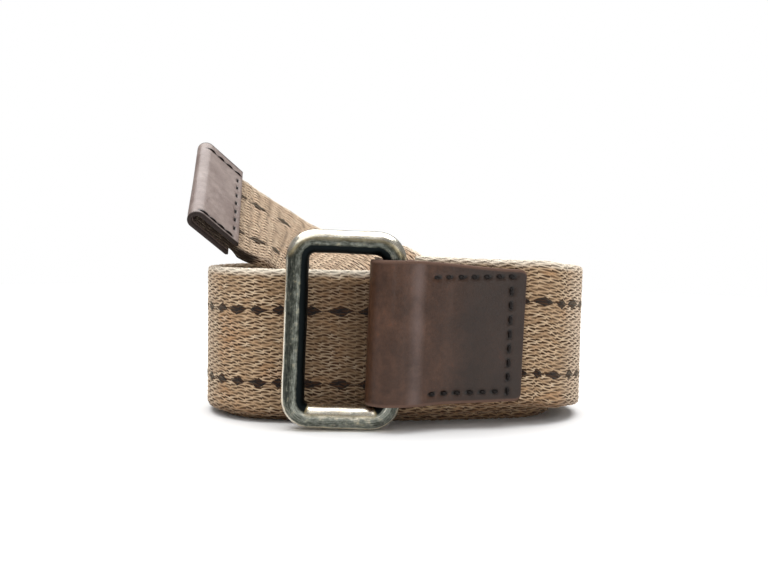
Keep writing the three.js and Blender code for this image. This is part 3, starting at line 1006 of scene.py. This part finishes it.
def metalMaterial():
    material, tree, shader = startMaterial("antiqued pewter on brass")
    surface = addNode(tree, "ShaderNodeUVMap", {"uv_map": "surfaceMap"}).outputs[0]
    place = addNode(tree, "ShaderNodeTexCoord").outputs["Object"]
    drawn = addNode(tree, "ShaderNodeMapping", None, {
        "Vector": surface, "Scale": (1 / metal["streakLength"], 1 / metal["streakWidth"], 1)}).outputs[0]
    streak = addNode(tree, "ShaderNodeTexNoise", None, {
        "Vector": drawn, "Scale": 1.0, "Detail": 5.0, "Roughness": 0.7}).outputs["Fac"]
    blotch = addNode(tree, "ShaderNodeTexNoise", None, {
        "Vector": place, "Scale": 1000 / metal["blotchSize"], "Detail": 4.0,
        "Roughness": 0.65}).outputs["Fac"]
    pit = addNode(tree, "ShaderNodeTexNoise", None, {
        "Vector": place, "Scale": 1000 / metal["pitSize"], "Detail": 3.0}).outputs["Fac"]
    # the colour follows real wear and patina, painted light and shade by which way a side faces, and the
    # painted highlight where it faces up
    wearAndLight = addNode(tree, "ShaderNodeAttribute", {"attribute_name": "wearAndPaintedLight"}).outputs["Fac"]
    mixed = addNode(tree, "ShaderNodeMix", None, {
        "Factor": metal["blotchShare"], "A": streak, "B": blotch}).outputs["Result"]
    lightenedLow, lightenedHigh = metal["lightenedRange"]
    lightened = addNode(tree, "ShaderNodeMapRange", None, {
        "Value": addSteps(tree, "ShaderNodeMath", wearAndLight, [("ADD", mixed)]),
        "From Min": lightenedLow, "From Max": lightenedHigh}).outputs["Result"]
    colour = setStops(addNode(tree, "ShaderNodeValToRGB", None, {"Fac": lightened}), metal["stops"])
    brassLow, brassHigh = metal["brassRange"]
    brassy = addSteps(tree, "ShaderNodeMath", wearAndLight, [("MULTIPLY_ADD", metal["brassByWearAndLight"], blotch)])
    brassy = addNode(tree, "ShaderNodeMapRange", None, {
        "Value": brassy, "From Min": brassLow, "From Max": brassHigh,
        "To Max": metal["brassShare"]}).outputs["Result"]
    # brass tint, the metal's own colour, placed along the edge of the painted top highlight
    through = addNode(tree, "ShaderNodeAttribute", {"attribute_name": "brassBesideHighlight"}).outputs["Fac"]
    brassy = addSteps(tree, "ShaderNodeMath", through, [("MULTIPLY", blotch), ("MAXIMUM", brassy)])
    colour = addNode(tree, "ShaderNodeMix", {"data_type": "RGBA"}, {
        "Factor": brassy, 6: colour, 7: hexColour(metal["brass"])}).outputs[2]
    dull, polished = metal["roughness"]
    roughness = addNode(tree, "ShaderNodeMapRange", None, {
        "Value": lightened, "To Min": dull, "To Max": polished}).outputs["Result"]
    rough = addNode(tree, "ShaderNodeMix", None, {
        "Factor": metal["pitShare"], "A": streak, "B": pit}).outputs["Result"]
    bump = addNode(tree, "ShaderNodeBump", None, {
        "Strength": metal["bumpStrength"], "Distance": metal["bumpDepth"] / 1000,
        "Height": rough}).outputs[0]
    setInputs(tree, shader, {
        "Base Color": colour, "Roughness": roughness, "Normal": bump, "Metallic": 1.0})
    return material


ringObject = ringPiece()
ringObject.data.materials.append(metalMaterial())
print("ring finished")

# Corners of the rows of stitches. The chape's are counted to the right from frontOriginX and up from
# the floor, the tip's outward from its inner edge and up or down from its middle.
chapeSeam = {
    "topLeft": (8.2, 38.5),
    "topRight": (27.3, 38.8),
    "bottomRight": (27.0, 9.7),
    "bottomLeft": (7.8, 9.5),
    "rowStitches": 7,
    "columnStitches": 9,
    "rowLength": 1.0,
    "columnLength": 1.5,
    "threadRadius": 0.4,
    "dent": 0.34,
    "aside": 0.1,
}
tipSeam = {
    "column": 2.2,
    "topReach": 15.9,
    "columnReach": 13.5,
    "lowReach": 17.7,
    "lowRowStart": 3.9,
    "rowEnd": 12.4,
    "columnStitches": 8,
    "rowStitches": 4,
    "rowLength": 2.9,
    "columnLength": 1.3,
    "threadRadius": 0.26,
    "dent": 0.2,
}
# The arch of a stitch, and how far the leather is pulled in and given painted shade beside it, in thread
# radii
thread = {
    "rise": 0.2,
    "dip": 0.5,
    "bend": 3,
    "archPoints": 7,
    "smoothPoints": 11,
    "sides": 10,
    "endRadiusShare": 0.6,
    "taper": 0.5,
    "dentReach": 1.9,
    "holeShadeReach": (0.9, 1.7),
}


def seamPlaces(corners, counts, lengths):
    # stitches along straight rows through the corners, each with its row's direction and length
    places = []
    for start, end, count, length in zip(corners, corners[1:], counts, lengths):
        start, end = np.array(start, float), np.array(end, float)
        for i in range(count):
            if i or not places:
                places.append((start + (end - start) * i / (count - 1), unit(end - start), length))
    return places


chapeStitches = seamPlaces(
    [chapeSeam["topLeft"], chapeSeam["topRight"], chapeSeam["bottomRight"], chapeSeam["bottomLeft"]],
    [chapeSeam["rowStitches"], chapeSeam["columnStitches"], chapeSeam["rowStitches"]],
    [chapeSeam["rowLength"], chapeSeam["columnLength"], chapeSeam["rowLength"]],
)
tipStitches = seamPlaces(
    [(tipSeam["rowEnd"], tipSeam["topReach"]), (tipSeam["column"], tipSeam["topReach"]),
     (tipSeam["column"], -tipSeam["columnReach"])],
    [tipSeam["rowStitches"], tipSeam["columnStitches"]],
    [tipSeam["rowLength"], tipSeam["columnLength"]],
) + seamPlaces(
    [(tipSeam["lowRowStart"], -tipSeam["lowReach"]), (tipSeam["rowEnd"], -tipSeam["lowReach"])],
    [tipSeam["rowStitches"]], [tipSeam["rowLength"]],
)


def stitchDents(x, y, stitches, seam):
    # how deep the leather is pulled in, and the painted shade in the hole close to each stitch
    dent = np.zeros(np.broadcast(x, y).shape)
    holeShade = np.zeros_like(dent)
    for place, direction, length in stitches:
        dx, dy = x - place[0], y - place[1]
        alongRow = dx * direction[0] + dy * direction[1]
        offRow = -dx * direction[1] + dy * direction[0]
        over = np.maximum(np.abs(alongRow) - length / 2, 0)
        away = np.hypot(over, offRow) / seam["threadRadius"]
        dent = np.maximum(dent, np.exp(-((away / thread["dentReach"]) ** 2)))
        holeShade = np.maximum(holeShade, 1 - smoothstep(away, *thread["holeShadeReach"]))
    return seam["dent"] * dent, holeShade


# Both leather strips: how far their cut edges and ends are dark, and how they are rounded
cutLeather = {
    "edgeSteps": 8,
    "edgeDark": 0.8,
    "edgeReach": 0.2,
    "endReach": 0.25,
    "endRound": 0.55,
    "endThickness": 0.25,
}


def leatherSection(piece):
    # [across, share of the width, rounding offset, edge] from the outer face's low edge round
    side = piece["thickness"] / 2
    rows = []
    for sign, start, end in ((1, 0.0, 1.0), (-1, 1.0, 0.0)):
        shares = np.linspace(start, end, piece["faceSteps"] + 1)
        rows += [(sign * side, share, 0.0, 0.0) for share in shares]
        for turn in np.radians(np.linspace(0, 180, cutLeather["edgeSteps"] + 1))[1:-1]:
            inset = max(0, side - piece["edgeRound"]) * np.sign(round(math.cos(turn), 6))
            across = inset + piece["edgeRound"] * math.cos(turn)
            rows.append((sign * across, end, sign * piece["edgeRound"] * math.sin(turn), 1.0))
    return np.array(rows)


def leatherPiece(name, piece, stations):
    # each station has its place and directions, its low and high edge, and what its surface is like
    a, share, offset, edge = leatherSection(piece).T
    rings, mapping = [], []
    looks = {"cutEdge": [], "stitchHoleShade": [], "lightened": [], "waxed": []}
    for station in stations:
        low = station["low"] + piece["edgeRound"]
        high = station["high"] - piece["edgeRound"]
        b = low + (high - low) * share + offset
        relief, holeShade = station["relief"](b)
        outward = np.where(a > 0, 1.0, 0.0) * (1 - edge)
        across = a * station["swell"] + outward * relief
        rings.append(
            station["centre"] + across[:, None] * station["across"] + b[:, None] * station["along"]
        )
        fromEdge = np.minimum(b - low, high - b) / cutLeather["edgeReach"]
        dark = np.maximum(edge, cutLeather["edgeDark"] * np.exp(-(fromEdge**2)))
        looks["cutEdge"].append(np.maximum(dark, station["endEdge"]))
        # painted shade in the stitch holes
        looks["stitchHoleShade"].append(holeShade * outward)
        # a band of painted sheen on the front leaf
        looks["lightened"].append(station["lightened"] * outward)
        # the waxed mark is painted shade toward the right of the front leaf, where it turns from the
        # light
        looks["waxed"].append(station["waxed"] * outward)
        widthPlaces = np.where(a < 0, 2 * station["high"] - b, b)
        mapping.append(np.stack([np.full(len(b) + 1, station["run"]), np.append(widthPlaces, b[0])], -1))
    looks = {key: np.array(values) for key, values in looks.items()}
    obj = sweptMesh(name, np.array(rings), np.array(mapping), attributes=looks)
    print(name, len(obj.data.polygons), "faces")
    return obj


def leatherRelief(piece, seam, stitches, x, y):
    # hand-worked leather is slightly wavy, and pulled in at the stitches
    dent, holeShade = stitchDents(x, y, stitches, seam)
    wave = sum(depth * np.sin(x / lengthX + y / lengthY) for depth, lengthX, lengthY in piece["waves"])
    return wave - piece["waveInset"] - dent, holeShade


def endSwell(distance):
    # the cut end of the leather is rounded over
    inside = np.clip(distance / cutLeather["endRound"], 0, 1)
    thin = cutLeather["endThickness"]
    return thin + (1 - thin) * math.sqrt(1 - (1 - inside) ** 2)


def endDark(piece, distance):
    return piece["endDark"] * math.exp(-((distance / cutLeather["endReach"]) ** 2))


# the leather lies round the bar in half a circle, and ends in two rounded corners
loopRadius = barOut - backLeafOut
loopFrontOut = barOut + loopRadius
chapeCorner = chape["end"] - chape["cornerRadius"]


def chapeFrontOut(right):
    # the front leaf comes down from the bar to the strap's start
    step = float(smoothstep(right, chape["stepStart"], chape["stepEnd"]))
    return loopFrontOut + (frontLeafOut - loopFrontOut) * step


def chapePath():
    # [right, out] from the back leaf's end round the bar to the front leaf's end
    leafStops = list(np.arange(chape["loopStart"], chapeCorner, chape["leafStep"]))
    turns = np.radians(np.linspace(0, 90, chape["cornerSteps"] + 1))
    leafStops += list(chapeCorner + chape["cornerRadius"] * np.sin(turns))
    path = [(right, backLeafOut) for right in leafStops[::-1]]
    for turn in np.radians(np.linspace(90, 270, chape["foldSteps"] + 1))[1:-1]:
        path.append((
            chape["loopStart"] + loopRadius * math.cos(turn),
            barOut - loopRadius * math.sin(turn),
        ))
    return path + [(right, chapeFrontOut(right)) for right in leafStops], len(leafStops)


def chapePiece():
    path, frontCount = chapePath()
    points = np.array([[*frontPoint(right, out), ringCentreZ] for right, out in path])
    steps = np.linalg.norm(np.diff(points, axis=0), axis=1)
    run = np.concatenate([[0], np.cumsum(steps)])
    # the tiny rise keeps two stops at one place apart
    directions = unit(np.gradient(points, run + np.arange(len(run)) * 1e-6, axis=0))
    stations = []
    for i, (right, _) in enumerate(path):
        share = float(smoothstep(right, 0, chape["end"]))
        past = max(0.0, right - chapeCorner)
        inset = chape["cornerRadius"] - math.sqrt(max(0.0, chape["cornerRadius"] ** 2 - past**2))
        low = chape["foldLow"] + (chape["endLow"] - chape["foldLow"]) * share + inset
        high = chape["foldHigh"] + (chape["endHigh"] - chape["foldHigh"]) * share - inset
        isFront = i >= len(path) - frontCount

        def relief(b, right=right, isFront=isFront):
            if not isFront:
                return np.zeros_like(b), np.zeros_like(b)
            x, y = np.full_like(b, right), b + ringCentreZ
            return leatherRelief(chape, chapeSeam, chapeStitches, x, y)

        stations.append({
            "centre": points[i],
            "across": unit(np.cross(directions[i], up)),
            "along": barAxis,
            "low": low - ringCentreZ,
            "high": high - ringCentreZ,
            "swell": endSwell(chape["end"] - right),
            "endEdge": endDark(chape, chape["end"] - right),
            # a band of painted sheen where the front leaf comes down from the bar
            "lightened": isFront * math.exp(-(((right - chape["sheenAt"]) / chape["sheenWidth"]) ** 2)),
            # the waxed mark is painted shade toward the right of the front leaf, where it turns from the
            # light
            "waxed": isFront * float(smoothstep(right, *chape["rightShadeRange"])),
            "run": run[i],
            "relief": relief,
        })
    return leatherPiece("leather_chape_folded", chape, stations)


def tipPiece():
    leaf = list(np.arange(0, tipStrapEnd, tip["leafStep"]))
    fold = np.radians(np.linspace(90, -90, tip["foldSteps"] + 1))
    path = [(distance, tipLeafOut, math.pi / 2) for distance in leaf]
    path += [
        (tipStrapEnd + tipLeafOut * math.cos(turn), tipLeafOut * math.sin(turn), turn) for turn in fold
    ]
    path += [(distance, -tipLeafOut, -math.pi / 2) for distance in leaf[::-1]]
    stations = []
    run = 0.0
    for i, (distance, out, turn) in enumerate(path):
        if i:
            run += math.hypot(distance - path[i - 1][0], out - path[i - 1][1])

        def relief(b, distance=distance):
            return leatherRelief(tip, tipSeam, tipStitches, np.full_like(b, distance), b)

        stations.append({
            "centre": tipPoint(distance, out),
            "across": tipDirection * math.cos(turn) + tipAcross * math.sin(turn),
            "along": tipAlong,
            "low": -tip["width"] / 2,
            "high": tip["width"] / 2,
            "swell": endSwell(distance),
            "endEdge": endDark(tip, distance),
            "lightened": 0.0,
            "waxed": 0.0,
            "run": run,
            "relief": relief,
        })
    return leatherPiece("leather_tip_folded", tip, stations)


# Vegetable-tanned cow leather, waxed: satin, mottled where the hide took the dye unevenly, darker
# and burnished on the cut edges
chapeLeather = {
    "stops": [(0.0, "#281509"), (0.4, "#3B2416"), (0.7, "#4A3021"), (1.0, "#693B25")],
    "edge": "#5E463A",
    # painted shade in the stitch holes
    "holeShade": "#0A0502",
    # painted sheen
    "lightened": "#8F7F7C",
    # the waxed colour is painted shade toward the right of the front leaf
    "waxed": "#1C120B",
    "roughness": (0.34, 0.42),
    "gloss": 0.34,
}
# the same leather as the chape, painted lighter for the light on its upturned face
tipLeatherLit = {
    "stops": [(0.0, "#64524A"), (0.45, "#7C6C66"), (0.75, "#8F8079"), (1.0, "#A08778")],
    "edge": "#1D0F08",
    "holeShade": "#0F0704",
    "lightened": "#A08778",
    "waxed": "#64524A",
    "roughness": (0.28, 0.4),
    "gloss": 0.5,
}
hide = {
    "cloudSize": 8,
    "mottleSize": 1.4,
    "mottleShare": 0.42,
    # the real grain is finer, and is drawn as coarse as it needs to show
    "grainSize": 0.7,
    "grainEdge": 0.12,
    "toneRange": (0.25, 0.75),
    # strength of the painted shade toward the right of the chape
    "rightShadeShare": 0.75,
    # range and strength of the painted sheen band
    "lightenedRange": (0.1, 0.75),
    "sheenShare": 0.3,
    "mottleRange": (0.3, 0.7),
    "edgeRoughness": 0.8,
    "mottleBump": 1.6,
    "bumpStrength": 0.35,
    "bumpDepth": 0.06,
    "ior": 1.48,
}


def leatherMaterial(name, look):
    material, tree, shader = startMaterial(name)
    place = addNode(tree, "ShaderNodeTexCoord").outputs["Object"]
    cloud = addNode(tree, "ShaderNodeTexNoise", None, {
        "Vector": place, "Scale": 1000 / hide["cloudSize"], "Detail": 4.0,
        "Roughness": 0.6}).outputs["Fac"]
    mottle = addNode(tree, "ShaderNodeTexNoise", None, {
        "Vector": place, "Scale": 1000 / hide["mottleSize"], "Detail": 4.0,
        "Roughness": 0.65}).outputs["Fac"]
    grain = addNode(tree, "ShaderNodeTexVoronoi", {"feature": "DISTANCE_TO_EDGE"}, {
        "Vector": place, "Scale": 1000 / hide["grainSize"]}).outputs["Distance"]
    edge, holeShade, waxed, lightened = (
        addNode(tree, "ShaderNodeAttribute", {"attribute_name": key}).outputs["Fac"]
        for key in ("cutEdge", "stitchHoleShade", "waxed", "lightened")
    )
    tone = addNode(tree, "ShaderNodeMix", None, {
        "Factor": hide["mottleShare"], "A": cloud, "B": mottle}).outputs["Result"]
    toneLow, toneHigh = hide["toneRange"]
    tone = addNode(tree, "ShaderNodeMapRange", None, {
        "Value": tone, "From Min": toneLow, "From Max": toneHigh}).outputs["Result"]
    # the waxed mark is painted shade toward the right of the chape's front leaf
    waxed = addSteps(tree, "ShaderNodeMath", waxed, [("MULTIPLY", hide["rightShadeShare"])])
    # a band of painted sheen
    lightenedLow, lightenedHigh = hide["lightenedRange"]
    lightened = addNode(tree, "ShaderNodeMapRange", None, {
        "Value": addSteps(tree, "ShaderNodeMath", lightened, [("MULTIPLY", cloud)]),
        "From Min": lightenedLow, "From Max": lightenedHigh, "To Max": hide["sheenShare"]}).outputs["Result"]
    colour = setStops(addNode(tree, "ShaderNodeValToRGB", None, {"Fac": tone}), look["stops"])
    # the last of these layers is painted shade in the stitch holes
    for share, key in ((waxed, "waxed"), (lightened, "lightened"), (edge, "edge"), (holeShade, "holeShade")):
        colour = addNode(tree, "ShaderNodeMix", {"data_type": "RGBA"}, {
            "Factor": share, 6: colour, 7: hexColour(look[key])}).outputs[2]
    mottleLow, mottleHigh = hide["mottleRange"]
    smooth, matt = look["roughness"]
    roughness = addNode(tree, "ShaderNodeMapRange", None, {
        "Value": mottle, "From Min": mottleLow, "From Max": mottleHigh,
        "To Min": smooth, "To Max": matt}).outputs["Result"]
    roughness = addNode(tree, "ShaderNodeMix", None, {
        "Factor": edge, "A": roughness, "B": hide["edgeRoughness"]}).outputs["Result"]
    skin = addNode(tree, "ShaderNodeMapRange", None, {
        "Value": grain, "From Max": hide["grainEdge"]}).outputs["Result"]
    skin = addSteps(tree, "ShaderNodeMath", mottle, [("MULTIPLY_ADD", hide["mottleBump"], skin)])
    bump = addNode(tree, "ShaderNodeBump", None, {
        "Strength": hide["bumpStrength"], "Distance": hide["bumpDepth"] / 1000,
        "Height": skin}).outputs[0]
    setInputs(tree, shader, {
        "Base Color": colour, "Roughness": roughness, "Normal": bump, "IOR": hide["ior"],
        "Specular IOR Level": look["gloss"]})
    return material


chapeObject = chapePiece()
chapeObject.data.materials.append(leatherMaterial("waxed cow leather, dark", chapeLeather))
tipObject = tipPiece()
# the tip's leather is painted lighter for the light on its upturned face
tipObject.data.materials.append(leatherMaterial("waxed cow leather, painted lighter", tipLeatherLit))
print("leather finished")


# Waxed polyester thread, almost black and dull, with a trace of its twist
waxedThread = {
    "stops": [(0.3, "#060302"), (0.7, "#150B07")],
    "strandSize": 0.3,
    "roughness": 0.6,
    "specular": 0.25,
    "bumpStrength": 0.6,
    "bumpDepth": 0.08,
}


def threadMaterial():
    material, tree, shader = startMaterial("waxed polyester thread")
    place = addNode(tree, "ShaderNodeTexCoord").outputs["Object"]
    strand = addNode(tree, "ShaderNodeTexNoise", None, {
        "Vector": place, "Scale": 1000 / waxedThread["strandSize"], "Detail": 3.0}).outputs["Fac"]
    colour = setStops(addNode(tree, "ShaderNodeValToRGB", None, {"Fac": strand}), waxedThread["stops"])
    bump = addNode(tree, "ShaderNodeBump", None, {
        "Strength": waxedThread["bumpStrength"], "Distance": waxedThread["bumpDepth"] / 1000,
        "Height": strand}).outputs[0]
    setInputs(tree, shader, {
        "Base Color": colour, "Normal": bump, "Roughness": waxedThread["roughness"],
        "Specular IOR Level": waxedThread["specular"]})
    return material


def stitchTree(material):
    # turns each short line into a rounded thread that is thinner where it goes into the leather
    tree = bpy.data.node_groups.new("stitchThread", "GeometryNodeTree")
    tree.interface.new_socket("Geometry", in_out="INPUT", socket_type="NodeSocketGeometry")
    for name, value in (
        ("threadRadius", chapeSeam["threadRadius"] / 1000), ("endRadiusShare", thread["endRadiusShare"]),
    ):
        socket = tree.interface.new_socket(name, in_out="INPUT", socket_type="NodeSocketFloat")
        socket.default_value = value
    tree.interface.new_socket("Geometry", in_out="OUTPUT", socket_type="NodeSocketGeometry")
    given = addNode(tree, "NodeGroupInput")
    lines = addNode(tree, "GeometryNodeMeshToCurve", None, {
        "Mesh": given.outputs["Geometry"]}).outputs[0]
    lines = addNode(tree, "GeometryNodeResampleCurve", None, {
        "Curve": lines, "Count": thread["smoothPoints"]}).outputs[0]
    share = addNode(tree, "GeometryNodeSplineParameter").outputs["Factor"]
    middle = addSteps(tree, "ShaderNodeMath", share, [
        ("MULTIPLY", math.pi), ("SINE",), ("POWER", thread["taper"])])
    radius = addNode(tree, "ShaderNodeMix", None, {
        "Factor": middle, "A": given.outputs["endRadiusShare"], "B": 1.0}).outputs["Result"]
    lines = addNode(tree, "GeometryNodeSetCurveRadius", None, {
        "Curve": lines, "Radius": radius}).outputs[0]
    circle = addNode(tree, "GeometryNodeCurvePrimitiveCircle", None, {
        "Resolution": thread["sides"], "Radius": given.outputs["threadRadius"]}).outputs[0]
    body = addNode(tree, "GeometryNodeCurveToMesh", None, {
        "Curve": lines, "Profile Curve": circle, "Fill Caps": True}).outputs[0]
    for kind in ("SetShadeSmooth", "RealizeInstances"):
        body = addNode(tree, "GeometryNode" + kind, None, {"Geometry": body}).outputs[0]
    body = addNode(tree, "GeometryNodeSetMaterial", None, {
        "Geometry": body, "Material": material}).outputs[0]
    addNode(tree, "NodeGroupOutput", None, {"Geometry": body})
    return tree


def stitchLine(place, normal, direction, length):
    # a low arch from one hole to the next
    line = []
    for share in np.linspace(-1, 1, thread["archPoints"]):
        height = thread["rise"] - (thread["rise"] + thread["dip"]) * abs(share) ** thread["bend"]
        line.append(place + direction * (share * length / 2) + normal * height)
    return line


def chapeStitchLines():
    lines = []
    surface = chape["thickness"] / 2 - chapeSeam["dent"]
    for (right, height), direction, length in chapeStitches:
        here, beside = (
            np.array([*frontPoint(x, chapeFrontOut(x) + surface), height])
            for x in (right, right + chapeSeam["aside"])
        )
        rightward = unit(beside - here)
        towards = unit(rightward * direction[0] + up * direction[1])
        lines.append(stitchLine(here, unit(np.cross(rightward, up)), towards, length))
    return lines


def tipStitchLines():
    lines = []
    surface = tipLeafOut + tip["thickness"] / 2 - tipSeam["dent"]
    for side in (1, -1):
        for place, direction, length in tipStitches:
            here = tipPoint(place[0], side * surface) + tipAlong * place[1]
            towards = unit(tipDirection * direction[0] + tipAlong * direction[1])
            lines.append(stitchLine(here, tipAcross * side, towards, length))
    return lines


def stitchPiece(name, lines, tree, radius):
    points = [point for line in lines for point in line]
    edges = []
    for index, line in enumerate(lines):
        first = index * len(line)
        edges += [(first + i, first + i + 1) for i in range(len(line) - 1)]
    mesh = bpy.data.meshes.new("stitchLines")
    mesh.from_pydata(toMetres(points).tolist(), edges, [])
    guide = newObject("stitchLines", mesh)
    modifier = guide.modifiers.new("thread", "NODES")
    modifier.node_group = tree
    for item in tree.interface.items_tree:
        if item.name == "threadRadius":
            modifier[item.identifier] = radius / 1000
    evaluated = guide.evaluated_get(bpy.context.evaluated_depsgraph_get())
    made = bpy.data.meshes.new_from_object(evaluated)
    guide.modifiers.remove(modifier)
    bpy.data.objects.remove(guide)
    made.name = name
    print(name, len(lines), "stitches with", len(made.polygons), "faces")
    return newObject(name, made)


threadTree = stitchTree(threadMaterial())
stitches = [
    stitchPiece("chape_stitches", chapeStitchLines(), threadTree, chapeSeam["threadRadius"]),
    stitchPiece("tip_stitches", tipStitchLines(), threadTree, tipSeam["threadRadius"]),
]
print("stitched")

for piece in webbingPieces:
    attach(piece, "belt")
    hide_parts("webbing_strap")
for piece, node in ((chapeObject, "leather_chape"), (tipObject, "leather_tip")):
    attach(piece, "belt")
    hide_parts(node)
for piece in stitches:
    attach(piece, "belt")
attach(ringObject, "ring")
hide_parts("ring")

# Pale floor and soft studio light, with these sizes in metres
studio = {
    "floorRadius": 0.6,
    "floorCorners": 64,
    "floorHeight": -0.0001,
    "paper": [(0.0, "#F2F2F2"), (1.0, "#F4F4F4")],
    "paperScale": 3.0,
    "paperRoughness": 0.9,
    "paperSpecular": 0.1,
    "world": "#FFFFFF",
    "worldStrength": 0.25,
    "lightsAimAt": (0, 0, 0.03),
    "lights": [
        # name, place, size, watts
        ("topBox", (0.0, 0.15, 1.0), 1.5, 25.0),
        ("frontBox", (-0.25, -0.55, 0.5), 0.5, 1.2),
        ("fillBox", (0.42, -0.6, 0.12), 0.2, 0.7),
    ],
}


def studioFloor():
    rim = []
    for turn in np.linspace(0, 2 * np.pi, studio["floorCorners"] + 1)[:-1]:
        x, y = studio["floorRadius"] * math.cos(turn), studio["floorRadius"] * math.sin(turn)
        rim.append((x, y, studio["floorHeight"]))
    mesh = bpy.data.meshes.new("studioFloor")
    mesh.from_pydata(rim, [], [list(range(len(rim)))])
    material, tree, shader = startMaterial("matt white paper")
    place = addNode(tree, "ShaderNodeTexCoord").outputs["Object"]
    fibre = addNode(tree, "ShaderNodeTexNoise", None, {
        "Vector": place, "Scale": studio["paperScale"]}).outputs["Fac"]
    colour = setStops(addNode(tree, "ShaderNodeValToRGB", None, {"Fac": fibre}), studio["paper"])
    setInputs(tree, shader, {
        "Base Color": colour, "Roughness": studio["paperRoughness"],
        "Specular IOR Level": studio["paperSpecular"]})
    mesh.materials.append(material)
    newObject("studioFloor", mesh)


def studioLights():
    world = bpy.data.worlds.new("studio")
    bpy.context.scene.world = world
    world.use_nodes = True
    # the backdrop is seen white, and lights the belt less than it shows
    seen = addNode(world.node_tree, "ShaderNodeLightPath").outputs["Is Camera Ray"]
    strength = addNode(world.node_tree, "ShaderNodeMapRange", None, {
        "Value": seen, "To Min": studio["worldStrength"]}).outputs["Result"]
    setInputs(world.node_tree, world.node_tree.nodes["Background"], {
        "Color": hexColour(studio["world"]), "Strength": strength})
    aim = Vector(studio["lightsAimAt"])
    for name, place, size, watts in studio["lights"]:
        data = bpy.data.lights.new(name, "AREA")
        data.size = size
        data.energy = watts
        lamp = newObject(name, data)
        lamp.location = place
        lamp.rotation_mode = "QUATERNION"
        lamp.rotation_quaternion = (aim - Vector(place)).to_track_quat("-Z", "Y")


studioFloor()
studioLights()
bpy.context.scene.view_settings.view_transform = "Standard"
print("studio lit")
